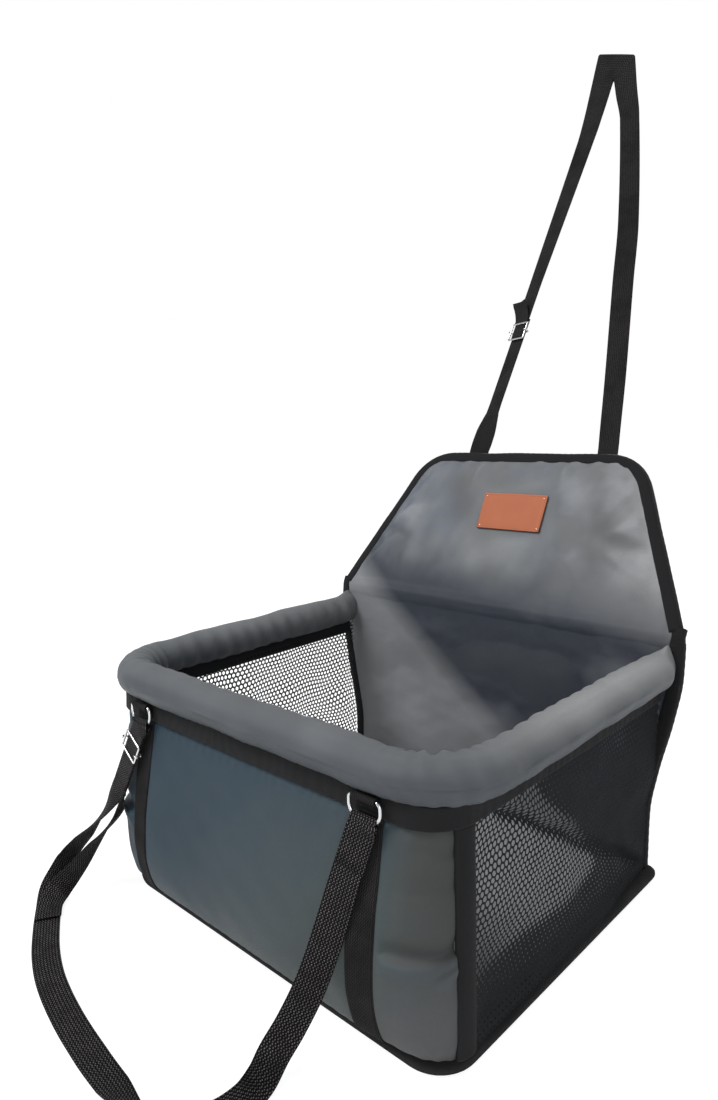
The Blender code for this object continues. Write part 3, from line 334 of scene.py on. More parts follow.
class Finish:
    """One material: a Principled shader and what varies over it."""

    def __init__(self, name, colour=(0.5, 0.5, 0.5), **constants):
        self.material = bpy.data.materials.new(name)
        self.material.use_nodes = True
        self.tree = self.material.node_tree
        self.shader = self.tree.nodes["Principled BSDF"]
        self.set("Base Color", (*colour, 1.0))
        for key, value in constants.items():
            self.set(key.replace("_", " ").title().replace("Ior", "IOR"), value)

    def set(self, name, value):
        socket = self.shader.inputs[name]
        if isinstance(value, Value):
            self.tree.links.new(value.socket, socket)
        else:
            socket.default_value = value

    def node(self, kind, settings=None, sockets=None, output=0):
        made = self.tree.nodes.new(kind)
        for key, value in (settings or {}).items():
            setattr(made, key, value)
        for key, value in (sockets or {}).items():
            if isinstance(value, Value):
                self.tree.links.new(value.socket, made.inputs[key])
            else:
                made.inputs[key].default_value = value
        return Value(self, made.outputs[output])

    def mix(self, factor, first, second):
        """A colour between two, by a factor."""
        settings = {"data_type": "RGBA", "clamp_factor": True}
        return self.node("ShaderNodeMix", settings, {0: factor, 6: first, 7: second}, 2)

    def parts(self, vector):
        separate = self.tree.nodes.new("ShaderNodeSeparateXYZ")
        self.tree.links.new(vector.socket, separate.inputs[0])
        return [Value(self, socket) for socket in separate.outputs]

    def place(self):
        return self.node("ShaderNodeTexCoord", output=3)

    def cloth_place(self):
        """Way along and across the cloth, in metres."""
        return self.parts(self.node("ShaderNodeUVMap", {"uv_map": "Weave"}))

    def noise(self, scale, detail=3.0, vector=None, rough=0.55):
        sockets = {"Vector": vector or self.place(), "Scale": scale, "Detail": detail, "Roughness": rough}
        return self.node("ShaderNodeTexNoise", {}, sockets)

    def relief(self):
        """How far a spot stands proud of the cloth round it, from -1 to 1."""
        return self.node("ShaderNodeAttribute", {"attribute_name": "relief"}, output=2)

    def bump(self, height, distance, strength=1.0, under=None):
        sockets = {"Height": height, "Distance": distance, "Strength": strength}
        if under is not None:
            sockets["Normal"] = under
        return self.node("ShaderNodeBump", {}, sockets)


def tinted(colour, factor):
    """A colour made lighter or darker, with its alpha."""
    return (*[min(channel * factor, 1.0) for channel in colour], 1.0)


def woven_finish(name, colour, pitch, depth, roughness, sheen, mottle=0.12, crease=0.35, gloss=0.35,
                 tone=None):
    """Plain-woven or coated cloth: a fine weave, faint mottling, a painted highlight on raised folds and
    painted shade in sunk ones.

    tone gives a second colour and how much of it each place takes, where light and shade are painted over the
    cloth."""
    finish = Finish(name, colour, sheen_weight=sheen, sheen_roughness=0.45, specular_ior_level=gloss)
    along, across, _ = finish.cloth_place()
    weave = (along * (TAU / pitch)).sine() * (across * (TAU / pitch)).sine()
    cloudy = finish.noise(14.0, 4.0)
    fine = finish.noise(420.0, 2.0)
    relief = finish.relief()
    base = finish.mix(cloudy, tinted(colour, 1 - mottle), tinted(colour, 1 + mottle))
    if tone is not None:
        for other, share in tone(finish):
            base = finish.mix(share.clipped(), base, tinted(other, 1.0))
    # Painted highlight on raised folds and painted shade in sunk ones, as strong as crease.
    raised = finish.mix((relief * crease).clipped(), base, tinted(colour, 1.9))
    painted_fold_light = finish.mix((relief * (-crease)).clipped(), raised, tinted(colour, 0.45))
    threads = finish.mix((weave * 0.10 + fine * 0.22).clipped(), painted_fold_light, tinted(colour, 0.55))
    finish.set("Base Color", threads)
    finish.set("Roughness", (cloudy * 0.16 + fine * 0.08 + (roughness - 0.12)).clipped())
    wrinkles = finish.bump(finish.noise(46.0, 3.0), 0.0007, 0.5)
    finish.set("Normal", finish.bump(weave + fine * 0.6, depth, 0.6, wrinkles))
    return finish.material


def webbing_finish(name, colour, pitch, glint_from, level):
    """Webbing: staggered ribs with a painted highlight on their crowns.

    The fourth argument is the height from which a rib's crown takes the painted highlight, and level is how
    much paler it is there."""
    finish = Finish(name, colour, specular_ior_level=0.10)
    along, across, _ = finish.cloth_place()
    rows = (along * (TAU / pitch)).sine()
    columns = (across * (TAU / (pitch * 0.78)) + rows * 0.7).sine()
    knots = (rows * columns + 1.0) * 0.5
    fine = finish.noise(900.0, 2.0)
    glint_patches = finish.noise(30.0, 3.0)
    crown = ((knots + fine * 0.7 - glint_from) * 2.2).clipped() ** 1.5
    # Painted highlights on the rib crowns, in patches.
    ribs_with_glints = finish.mix(crown * (glint_patches * 2.2 - 0.2).clipped(), tinted(colour, 0.5), tinted(colour, level))
    finish.set("Base Color", ribs_with_glints)
    finish.set("Roughness", (fine * 0.2 + 0.58).clipped())
    finish.set("Normal", finish.bump(knots + fine * 0.35, 0.0005, 0.9))
    return finish.material


def leather_finish(name, colour):
    """Smooth tan imitation leather: fine pores, cloudy tone, darker pressed edges with painted shade, and a
    painted highlight where the relief is raised.
    """
    finish = Finish(name, colour, specular_ior_level=0.25, coat_roughness=0.35)
    pores = finish.node("ShaderNodeTexVoronoi", {}, {"Vector": finish.place(), "Scale": 1500.0})
    cloudy = finish.noise(60.0, 4.0)
    grain = finish.noise(900.0, 3.0)
    base = finish.mix(cloudy, tinted(colour, 0.86), tinted(colour, 1.12))
    spotted = finish.mix((grain * 0.5).clipped(), base, tinted(colour, 0.80))
    relief = finish.relief()
    edged = finish.mix((relief * (-1.0)).clipped(), spotted, tinted(colour, 0.16))
    finish.set("Base Color", finish.mix(relief.clipped(), edged, tinted(colour, 1.7)))
    finish.set("Roughness", (grain * 0.2 + 0.42).clipped())
    finish.set("Coat Weight", 0.05)
    finish.set("Normal", finish.bump(pores * 0.6 + grain * 0.5, 0.00012, 0.6))
    return finish.material


def steel_finish(name, colour):
    """Bright plated wire with faint drawing marks."""
    finish = Finish(name, colour, metallic=1.0)
    marks = finish.noise(1200.0, 3.0)
    cloudy = finish.noise(180.0, 3.0)
    finish.set("Base Color", finish.mix(cloudy, tinted(colour, 0.9), tinted(colour, 1.1)))
    finish.set("Roughness", (marks * 0.14 + cloudy * 0.10 + 0.10).clipped())
    finish.set("Normal", finish.bump(marks, 0.00004, 0.4))
    return finish.material


def inner_finish(name, colour, scale, roughness, depth):
    """Foam, board or pipe inside: speckled, with a fine surface of its own."""
    finish = Finish(name, colour)
    cells = finish.node("ShaderNodeTexVoronoi", {}, {"Vector": finish.place(), "Scale": scale})
    cloudy = finish.noise(scale * 0.2)
    finish.set("Base Color", finish.mix(cloudy, tinted(colour, 0.9), tinted(colour, 1.08)))
    finish.set("Roughness", (cloudy * 0.15 + (roughness - 0.07)).clipped())
    finish.set("Normal", finish.bump(cells, depth, 0.5))
    return finish.material


FINISHES = {}


def front_painted_light(finish):
    """Painted light on the front: paler and greyer towards its foot and its right end, and a painted
    blue shade at its upper left.
    """
    x, _, z = finish.parts(finish.place())
    cloudy = finish.noise(8.0)
    corner = (x * 40.0 - 6.3 - z * 3.0 + cloudy * 0.4).clipped()
    return [((0.108, 0.118, 0.100), x * 1.9 - z * 2.6 + cloudy * 0.5 + 0.18),
            ((0.014, 0.035, 0.056), z * 4.0 - x * 2.4 - 0.70 + cloudy * 0.4),
            # Painted light on the right corner, which faces the light, palest below its crease.
            ((0.058, 0.060, 0.057), corner),
            ((0.088, 0.087, 0.088), ((0.110 - z) * 16.0).clipped() * corner)]


def rim_painted_light(finish):
    """Painted shade down the rim's front, and a painted highlight along the top of its right arm."""
    x, y, z = finish.parts(finish.place())
    cloudy = finish.noise(12.0, 3.0)
    arm = ((x - 0.12) * 9.0).clipped() * ((y + 0.15) * 7.0).clipped()
    return [((0.068, 0.076, 0.086), (0.252 - z) * 34.0 - y * 3.0 - 0.30 + cloudy * 0.3),
            ((0.290, 0.297, 0.294), ((z - 0.236) * 75.0 + cloudy * 0.5).clipped() * arm)]


def back_painted_light_and_navy(finish):
    """Painted light and shade on the back panels: bluer painted shade to the left, painted highlights to
    the upper right, painted light low on the lower panel's left, and navy down past the crease, which is
    partly the lower panel's own navy and partly a painted shadow reaching up the folding panel's left.
    """
    x, _, z = finish.parts(finish.place())
    cloudy = finish.noise(11.0, 3.0)
    return [((0.105, 0.124, 0.164), cloudy * 3.0 - x * 3.0 - 1.15),
            ((0.400, 0.402, 0.402), cloudy * 2.6 + x * 2.6 + z * 1.4 - 2.05),
            # Navy past the crease: partly the lower panel's own navy, partly a painted shadow slanting up the
            # left.
            ((0.019, 0.025, 0.040), (0.312 - z) * 15.0 - x * 2.4 + cloudy * 1.2 - 0.3),
            # Painted light low on the lower panel's left.
            ((0.210, 0.218, 0.228), (0.105 - z) * 26.0 + (0.115 - x) * 20.0 - 1.0)]


def make_finishes(colours):
    """Builds every finish once, before the pieces take them."""
    woven = {
        "slate_fabric": (colours.slate, 0.0009, 0.00012, 0.50, 0.04, 0.10, 0.35, 0.25, front_painted_light),
        "grey_fabric": (colours.grey, 0.0009, 0.00012, 0.46, 0.05, 0.12, 0.35, 0.28, rim_painted_light),
        "back_fabric": (colours.grey, 0.0009, 0.00012, 0.42, 0.06, 0.10, 0.85, 0.4, back_painted_light_and_navy),
        # The cushion's cloth is the grey cloth made paler: painted light on what shows through the nets.
        "cushion_painted_light_fabric": (colours.cushion, 0.0009, 0.00012, 0.55, 0.10, 0.10, 0.35, 0.3),
        "lining_fabric": (colours.lining, 0.0008, 0.00015, 0.62, 0.05, 0.15, 0.3, 0.2),
        "black_cloth": (colours.black, 0.0011, 0.0002, 0.72, 0.04, 0.2, 0.5, 0.15),
        "black_net": (colours.net, 0.0007, 0.0001, 0.70, 0.0, 0.2, 0.3, 0.06),
    }
    FINISHES.update({name: woven_finish(name, *values) for name, values in woven.items()})
    FINISHES.update({
        "black_webbing": webbing_finish("black_webbing", colours.webbing, 0.0027, 0.62, 5.0),
        "coarse_webbing": webbing_finish("coarse_webbing", colours.webbing, 0.0034, 0.90, 26.0),
        "brown_leather": leather_finish("brown_leather", colours.leather),
        "bright_wire": steel_finish("bright_wire", colours.steel),
        "foam": inner_finish("foam", (0.62, 0.60, 0.55), 900.0, 0.9, 0.0004),
        "stiffener_board": inner_finish("stiffener_board", (0.20, 0.20, 0.21), 500.0, 0.6, 0.0001),
        "plastic_pipe": inner_finish("plastic_pipe", (0.75, 0.75, 0.73), 260.0, 0.4, 0.00005),
    })


# ---------------------------------------------------------------- shapes


def waves(first, second, size, seed, count=7):
    """Soft unevenness over two coordinates, roughly from -1 to 1, about size from crest to crest."""
    draw = np.random.default_rng(seed)
    total = np.zeros(np.broadcast(first, second).shape)
    for _ in range(count):
        turn = draw.uniform(0, TAU)
        length = size * draw.uniform(0.7, 1.8)
        shift = draw.uniform(0, TAU)
        total += np.sin((first * math.cos(turn) + second * math.sin(turn)) * TAU / length + shift)
    return total / (1.25 * math.sqrt(count))


def fold(across, width):
    """A ridge's profile: 1 on its line, 0 away from it."""
    return np.exp(-(across / width) ** 2)


def ease(share):
    """A soft step from 0 to 1."""
    share = np.clip(share, 0.0, 1.0)
    return share * share * (3 - 2 * share)


def way_along(path):
    """Distance along a path at each of its places."""
    return np.concatenate([[0], np.cumsum(np.linalg.norm(np.diff(path, axis=0), axis=1))])


def cloth_grid(rows, columns):
    """Cloth coordinates of a grid from the way along its rows and its columns."""
    return np.stack(np.meshgrid(rows, columns, indexing="ij"), axis=2)


def even_grid(across, up, columns, rows):
    """Places spread evenly over a range across and a range up."""
    return np.meshgrid(np.linspace(*across, columns), np.linspace(*up, rows), indexing="xy")


def around(path):
    """Run of a closed path at each of its places."""
    return np.roll(path, -1, axis=0) - np.roll(path, 1, axis=0)


def unit_rows(rows):
    """Directions of unit length, one in each row."""
    return rows / np.linalg.norm(rows, axis=1, keepdims=True)


def layered(first, second, layers):
    """Soft unevenness in several layers, each with its depth, its size and its seed."""
    return sum(depth * waves(first, second, size, seed) for depth, size, seed in layers)


def raised(outline, height):
    """Flat places at one height."""
    return np.concatenate([outline, np.full((len(outline), 1), height)], axis=1)


def facing_front(direction):
    """The direction or its opposite, whichever points towards the front."""
    return -direction if direction.y > 0 else direction


def squared_to(run, direction):
    """A direction turned square to a run."""
    return (direction - run * run.dot(direction)).normalized()


def mesh_object(name, spots, faces, look):
    """A new object with one material."""
    mesh = bpy.data.meshes.new(name)
    mesh.from_pydata(spots, [], faces)
    mesh.materials.append(look)
    made = bpy.data.objects.new(name, mesh)
    bpy.context.scene.collection.objects.link(made)
    return made


def grid_object(name, points, cloth, relief, closed, look, second=None, second_faces=None):
    """A piece from an array of points in rows and columns, with its cloth coordinates.

    Rows that aren't closed get a cap at each end."""
    rows, columns = points.shape[:2]
    row_count = rows if closed[0] else rows - 1
    column_count = columns if closed[1] else columns - 1
    row, column = np.meshgrid(np.arange(row_count), np.arange(column_count), indexing="ij")
    after_row = (row + 1) % rows
    after_column = (column + 1) % columns
    corners = [row * columns + column, after_row * columns + column,
               after_row * columns + after_column, row * columns + after_column]
    faces = np.stack([corner.ravel() for corner in corners], axis=1)
    last = (rows - 1) * columns
    caps = [list(range(columns)), list(range(last, last + columns))[::-1]] if not closed[0] else []
    made = mesh_object(name, points.reshape(-1, 3).tolist(), faces.tolist() + caps, FINISHES[look])
    mesh = made.data
    layer = mesh.uv_layers.new(name="Weave")
    flat = cloth.reshape(-1, 2)
    loops = np.zeros(len(mesh.loops), np.int32)
    mesh.loops.foreach_get("vertex_index", loops)
    layer.data.foreach_set("uv", flat[loops].astype(np.float32).ravel())
    attribute = mesh.attributes.new("relief", "FLOAT", "POINT")
    values = np.zeros(rows * columns) if relief is None else np.clip(relief, -1, 1).ravel()
    attribute.data.foreach_set("value", values.astype(np.float32))
    if second:
        mesh.materials.append(FINISHES[second])
        marks = np.zeros(len(mesh.polygons), np.int32)
        marks[: len(faces)] = second_faces(column.ravel())
        mesh.polygons.foreach_set("material_index", marks)
    mesh.shade_smooth()
    face_outward(mesh)
    return made


def face_outward(mesh):
    """Turns a closed piece's faces outward if they enclose a negative volume."""
    mesh.calc_loop_triangles()
    spots = np.zeros(len(mesh.vertices) * 3)
    mesh.vertices.foreach_get("co", spots)
    spots = spots.reshape(-1, 3)
    corners = np.zeros(len(mesh.loop_triangles) * 3, np.int32)
    mesh.loop_triangles.foreach_get("vertices", corners)
    a, b, c = (spots[corners[index::3]] for index in range(3))
    if np.einsum("ij,ij->", a, np.cross(b, c)) < 0:
        mesh.flip_normals()


def finish_piece(made, body, slot, *nodes):
    """Puts a piece on its body and lets it stand for its solids."""
    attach(made, body)
    if nodes:
        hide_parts(*nodes)
    return made


def cloth_lengths(points):
    """Way along the rows and along the columns of a grid, in metres."""
    down = np.linalg.norm(np.diff(points, axis=0), axis=2).mean(axis=1)
    over = np.linalg.norm(np.diff(points, axis=1), axis=2).mean(axis=0)
    return cloth_grid(*(np.concatenate([[0], np.cumsum(steps)]) for steps in (down, over)))


def pad_object(name, front, back, look, second, relief):
    """A closed padded piece between a front grid and a back grid that share their outline."""
    columns = front.shape[1]
    points = np.concatenate([front, back[:, ::-1]], axis=1)
    relief = np.concatenate([relief, np.zeros_like(back[:, :, 0])], axis=1)
    turned = lambda column: (column >= columns - 1) & (column < 2 * columns)
    return grid_object(name, points, cloth_lengths(points), relief, (False, True), look, second, turned)


def swept_object(name, centres, across, up, profile, look, relief=None, closed=False):
    """A closed band: a profile of (across, up) lengths carried along a path.

    profile is either one outline or one outline for each place on the path."""
    profile = np.asarray(profile)
    if profile.ndim == 2:
        profile = np.repeat(profile[None], len(centres), axis=0)
    points = centres[:, None] + across[:, None] * profile[:, :, :1] + up[:, None] * profile[:, :, 1:]
    cloth = cloth_grid(way_along(centres), way_along(profile[0]))
    return grid_object(name, points, cloth, relief, (closed, True), look)


def rounded_profile(width, thickness, side_points=9, round_points=4):
    """A flat band's outline with round edges."""
    half = width / 2 - thickness / 2
    outline = [(x, thickness / 2) for x in np.linspace(-half, half, side_points)]
    for index in range(1, round_points):
        angle = math.pi / 2 - math.pi * index / round_points
        outline.append((half + thickness / 2 * math.cos(angle), thickness / 2 * math.sin(angle)))
    outline += [(x, -thickness / 2) for x in np.linspace(half, -half, side_points)]
    for index in range(1, round_points):
        angle = -math.pi / 2 - math.pi * index / round_points
        outline.append((-half + thickness / 2 * math.cos(angle), thickness / 2 * math.sin(angle)))
    return np.array(outline)


def wall_normal(along):
    """Place on the wall's outline and its outward normal."""
    side = np.sign(along) + (along == 0)
    way = np.abs(along)
    turn = np.clip((way - STRAIGHT_HALF) / BASE_CORNER, 0, math.pi / 2)
    x = np.minimum(way, STRAIGHT_HALF) + BASE_CORNER * np.sin(turn)
    y = FRONT_Y + BASE_CORNER * (1 - np.cos(turn)) + np.maximum(way - CORNER_END, 0)
    return side * x, y, side * np.sin(turn), -np.cos(turn)


def front_crown(along, height):
    """How far the padded front swells, most of it low down and between its corners."""
    rise = np.clip((height - WALL_FOOT) / (WALL_TOP - WALL_FOOT), 0, 1)
    beyond = np.maximum(np.abs(along) - CROWN_FLAT_WIDTH, 0) / (FACE_END - CROWN_FLAT_WIDTH)
    return FRONT_CROWN * np.sin(math.pi * rise ** CROWN_RISE_POWER) * np.maximum(1 - beyond ** 2, 0)


def front_dents(along, height):
    """The padded front's own unevenness: stitched valleys, soft dents and creases at its corners."""
    way = np.abs(along)
    low = height - WALL_FOOT
    high = BAND_FOOT - height
    valley = -0.0030 * fold(way - RING_SPREAD, 0.010) * ease(low / 0.03) * ease(high / 0.02)
    dents = 0.0014 * waves(along, height, 0.17, 11) * ease(low / 0.03) * ease(high / 0.03)
    small = 0.00025 * waves(along, height, 0.035, 12)
    corner = ease((way - CORNER_CREASES_FROM) / 0.012)
    creases = np.zeros_like(dents)
    for place, depth, width, slope, near in CORNER_CREASES:
        line = height - place - slope * (way - 0.19)
        reach = ease((way - near) / 0.012)
        valley_width = np.where(line > 0, width * 3.2, width * 0.7)
        creases += reach * depth * (0.7 * fold(line + width * 2.4, width * 2.6) - fold(line, valley_width))
    puckers = np.sin(along * TAU / STITCH_GATHER + 2.2 * waves(along, height, 0.05, 13))
    puckers = puckers * (0.0007 * fold(low, 0.010) + 0.0006 * fold(high, 0.009))
    hem = -0.0022 * fold(low, 0.006) - 0.0022 * fold(high, 0.006)
    return valley + dents + small + creases * corner + puckers * 0.6 + hem


def wall_grid(along, height, reach):
    """Places that stand proud of the swollen wall by a reach."""
    x, y, normal_x, normal_y = wall_normal(along)
    out = front_crown(along, height) + reach
    return np.stack([x + normal_x * out, y + normal_y * out, height], axis=2)


def relief_of(dents, scale):
    """Dents as the relief that a finish shades, from -1 to 1."""
    return np.clip(dents / scale, -1, 1)


def smooth_route(route, steps, slanted=False):
    """Places and directions on a smooth curve through a route's own points.

    A slanted strap keeps the directions and their lengths as given, for a flat fold."""
    places = [Vector(place) for place, across in route]
    across = [Vector(direction) for place, direction in route]
    out = []
    last = len(route) - 1
    for index in range(last):
        before, here, there, after = (places[min(max(index + shift, 0), last)] for shift in (-1, 0, 1, 2))
        span = (there - here).length
        leave = (there - before) * span / ((here - before).length + span)
        arrive = (after - here) * span / ((after - there).length + span)
        for step in range(steps):
            t = step / steps
            place = here.lerp(there, t * t * (3 - 2 * t))
            place += leave * t * (1 - t)**2 - arrive * t * t * (1 - t)
            out.append((place, across[index].lerp(across[index + 1], t)))
    out.append((places[last], across[last]))
    if slanted:
        return out
    squared = [(places[0], across[0].normalized())]
    for before, (place, direction), after in zip(out, out[1:], out[2:]):
        run = (after[0] - before[0]).normalized()
        squared.append((place, squared_to(run, direction)))
    return squared + [(places[last], across[last].normalized())]


def strap_object(name, route, width=STRAP_WIDTH, thickness=STRAP_THICKNESS, look="black_webbing"):
    """A webbing strap along a list of places, each with the direction across it."""
    centres = np.array([place for place, across in route])
    across = np.array([direction for place, direction in route])
    normal = unit_rows(np.cross(np.gradient(centres, axis=0), across))
    return swept_object(name, centres, across, normal, rounded_profile(width, thickness), look)


def wire_object(name, centres, radius, closed=False, sides=14):
    """Round wire along a path."""
    centres = np.array([tuple(place) for place in centres])
    runs = unit_rows(around(centres) if closed else np.gradient(centres, axis=0))
    plane = np.linalg.svd(centres - centres.mean(axis=0))[2][2]
    across = unit_rows(np.cross(runs, plane))
    up = np.cross(across, runs)
    angles = np.linspace(0, TAU, sides, endpoint=False)
    profile = np.stack([np.cos(angles), np.sin(angles)], axis=1) * radius
    return swept_object(name, centres, across, up, profile, "bright_wire", closed=closed)


def arc(centre, radius, start, end, steps):
    """Places on an arc in a plane, both ends included."""
    angles = np.linspace(start, end, steps + 1)
    return [(centre[0] + radius * math.cos(a), centre[1] + radius * math.sin(a)) for a in angles]


def rounded_corners(half_width, half_height, radius):
    """Outline of a rectangle with round corners, about its middle."""
    spots = []
    for quarter, (across, up) in enumerate(((1, 1), (-1, 1), (-1, -1), (1, -1))):
        centre = (across * (half_width - radius), up * (half_height - radius))
        spots += arc(centre, radius, quarter * math.pi / 2, (quarter + 1) * math.pi / 2, 6)
    return spots


def back_line(z):
    """Where the lower back panel's middle layer stands at a height."""
    return HINGE_BACK - (HINGE_HEIGHT - z) * math.tan(RECLINE)


def back_half(z):
    """Half the lower back panel's width at a height."""
    rise = np.clip((z - BACK_WAIST_HEIGHT) / (BACK_HIP_HEIGHT - BACK_WAIST_HEIGHT), 0, 1)
    return BACK_FOOT_HALF + (BACK_HIP_HALF - BACK_FOOT_HALF) * rise


def panel_spot(x, z, through):
    """A place on the lower back panel."""
    return np.stack(np.broadcast_arrays(x, back_line(z) + through, z), -1)


def flap_spot(x, up, through):
    """A place on the folding panel, given in its own frame."""
    y = HINGE_BACK + up * math.sin(BACK_LEAN) + through * math.cos(BACK_LEAN)
    z = HINGE_HEIGHT + up * math.cos(BACK_LEAN) - through * math.sin(BACK_LEAN)
    return np.stack(np.broadcast_arrays(x, y, z), -1)


def flap_vector(spot):
    """A single place from the folding panel's frame, in the room's."""
    return Vector(flap_spot(spot[0], spot[2], spot[1]))


def flap_turn(direction):
    """A direction in the folding panel's frame, turned to the room's."""
    return Matrix.Rotation(-BACK_LEAN, 3, "X") @ Vector(direction)


def over_fold(made, gap):
    """Bakes a piece's transform into its mesh; the places a gap below and above the fold are worked out but
    not kept.
    """
    tuple(panel_spot(0.0, HINGE_HEIGHT - gap, 0.0))
    tuple(flap_spot(0.0, gap, 0.0))
    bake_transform(made)


def flap_side(steps=40):
    """The folding panel's right edge from the crease to the middle of its top."""
    run = Vector((FLAP_TOP_HALF - BACK_HIP_HALF, FLAP_HEIGHT))
    lean = math.atan2(-run.x, run.y)
    cut = FLAP_CORNER * math.tan((math.pi / 2 - lean) / 2)
    tangent = Vector((FLAP_TOP_HALF, FLAP_HEIGHT)) - run.normalized() * cut
    centre = tangent - Vector((math.cos(lean), math.sin(lean))) * FLAP_CORNER
    start = Vector((BACK_HIP_HALF, 0.0)) + run * (CREASE_HALF_GAP / FLAP_HEIGHT)
    side = [tuple(start.lerp(tangent, step / steps)) for step in range(steps)]
    side += arc(centre, FLAP_CORNER, lean, math.pi / 2, steps // 2)
    return side, centre.x


def outward_of(runs):
    """Outward normals of a flat path, for a body on its left side."""
    return unit_rows(runs)[:, ::-1] * (1, -1)


# ---------------------------------------------------------------- settings


class SeatSizes(bpy.types.PropertyGroup):
    """Sizes that the maker can change."""

    net_pitch: FloatProperty(name="Net pitch", description="Distance between the net's holes",
                             default=0.0058, unit="LENGTH")
    net_thread: FloatProperty(name="Net thread", description="Width of the net's threads",
                              default=0.0018, unit="LENGTH")
    net_sag: FloatProperty(name="Net sag", description="Depth of the net's folds",
                           default=0.004, unit="LENGTH")
    patch_radius: FloatProperty(name="Patch corner", description="Radius of the leather patch's corners",
                                default=0.0015, unit="LENGTH")
    rim_pucker: FloatProperty(name="Rim puckers", description="Depth of the rim's gathers at its corners",
                              default=0.0016, unit="LENGTH")


class SeatColours(bpy.types.PropertyGroup):
    """Colours of the cloths, webbing, leather and metal."""

    slate: FloatVectorProperty(name="Slate cloth", description="Padded front", subtype="COLOR",
                               default=(0.030, 0.051, 0.068))
    grey: FloatVectorProperty(name="Grey cloth", description="Rim and back", subtype="COLOR",
                              default=(0.150, 0.156, 0.161))
    # Paler than the grey cloth: painted light inside the basket.
    cushion: FloatVectorProperty(name="Cushion", description="Cushion on the base", subtype="COLOR",
                                 default=(0.300, 0.305, 0.315))
    lining: FloatVectorProperty(name="Lining", description="Inside of the front wall", subtype="COLOR",
                                default=(0.030, 0.034, 0.045))
    black: FloatVectorProperty(name="Black cloth", description="Bindings and base", subtype="COLOR",
                               default=(0.012, 0.012, 0.013))
    webbing: FloatVectorProperty(name="Webbing", description="Straps", subtype="COLOR",
                                 default=(0.0068, 0.0062, 0.0064))
    net: FloatVectorProperty(name="Net", description="Side nets", subtype="COLOR",
                             default=(0.0225, 0.0238, 0.0258))
    leather: FloatVectorProperty(name="Leather", description="Patch", subtype="COLOR",
                                 default=(0.410, 0.107, 0.036))
    steel: FloatVectorProperty(name="Wire", description="Rings and sliders", subtype="COLOR",
                               default=(0.80, 0.80, 0.81))


# ---------------------------------------------------------------- pieces


class SEAT_OT_stage(bpy.types.Operator):
    """Floor, soft light, white surroundings and the camera"""

    bl_idname = "seat.stage"
    bl_label = "Stage"

    def execute(self, context):
        scene = context.scene
        scene.view_settings.view_transform = "Standard"
        self.camera(scene)
        self.floor()
        self.surroundings(scene)
        self.lights(scene)
        return {"FINISHED"}

    def camera(self, scene):
        """The photograph's own camera."""
        yaw, pitch, roll = (math.radians(a) for a in (CAMERA_YAW, CAMERA_PITCH, CAMERA_ROLL))
        ahead = Vector((-math.sin(yaw) * math.cos(pitch), math.cos(yaw) * math.cos(pitch), -math.sin(pitch)))
        level = Vector((math.cos(yaw), math.sin(yaw), 0.0))
        up = level.cross(ahead)
        right = level * math.cos(roll) + up * math.sin(roll)
        top = up * math.cos(roll) - level * math.sin(roll)
        data = bpy.data.cameras.new("camera")
        data.sensor_fit = "AUTO"
        data.lens = data.sensor_width * FOCAL_PIXELS / PHOTO_HEIGHT
        data.clip_start = 0.02
        made = bpy.data.objects.new("camera", data)
        turn = Matrix((right, top, -ahead)).transposed().to_4x4()
        made.matrix_world = Matrix.Translation(CAMERA_PLACE) @ turn
        scene.collection.objects.link(made)
        scene.camera = made

    def floor(self):
        """A white floor that still takes a soft shadow."""
        finish = Finish("floor", (0.86, 0.86, 0.86), roughness=0.8)
        seen = finish.node("ShaderNodeLightPath")
        white = finish.node("ShaderNodeEmission", {}, {"Color": (1, 1, 1, 1), "Strength": FLOOR_GLOW})
        body = Value(finish, finish.shader.outputs[0])
        mixed = finish.node("ShaderNodeMixShader", {}, {0: seen * FLOOR_GLOW_SHARE, 1: body, 2: white})
        output = finish.tree.nodes["Material Output"]
        finish.tree.links.new(mixed.socket, output.inputs["Surface"])
        corners = ((-1, -1), (1, -1), (1, 1), (-1, 1))
        spots = [(x * FLOOR_REACH, y * FLOOR_REACH, FLOOR_HEIGHT) for x, y in corners]
        mesh_object("floor", spots, [[0, 1, 2, 3]], finish.material)

    def surroundings(self, scene):
        """White behind everything, with a weaker cool light from all round."""
        world = bpy.data.worlds.new("surroundings")
        scene.world = world
        world.use_nodes = True
        tree = world.node_tree
        backdrop = tree.nodes["Background"]
        backdrop.inputs["Color"].default_value = (1, 1, 1, 1)
        ambient = tree.nodes.new("ShaderNodeBackground")
        ambient.inputs["Color"].default_value = (0.94, 0.97, 1.0, 1)
        ambient.inputs["Strength"].default_value = AMBIENT
        path = tree.nodes.new("ShaderNodeLightPath")
        mixed = tree.nodes.new("ShaderNodeMixShader")
        tree.links.new(path.outputs["Is Camera Ray"], mixed.inputs[0])
        tree.links.new(ambient.outputs[0], mixed.inputs[1])
        tree.links.new(backdrop.outputs[0], mixed.inputs[2])
        tree.links.new(mixed.outputs[0], tree.nodes["World Output"].inputs[0])

    def lights(self, scene):
        """Soft round lights, each turned to its aim."""
        for name, place, aim, size, power in LIGHTS:
            data = bpy.data.lights.new(name, "AREA")
            data.shape = "DISK"
            data.size = size
            data.energy = power
            made = bpy.data.objects.new(name, data)
            made.location = place
            made.rotation_euler = (Vector(aim) - Vector(place)).to_track_quat("-Z", "Y").to_euler()
            scene.collection.objects.link(made)


def ring_seat(side):
    """Where the strap's end turns round the foot of its ring."""
    return Vector((side * RING_SPREAD, RING_Y, RING_Z - RING_HEIGHT + 0.0008))


def left_strap():
    """Run, across and outward directions of the doubled strap under the left ring."""
    across = squared_to(LEFT_STRAP_DIRECTION, LEFT_STRAP_ACROSS)
    return LEFT_STRAP_DIRECTION, across, facing_front(LEFT_STRAP_DIRECTION.cross(across).normalized())


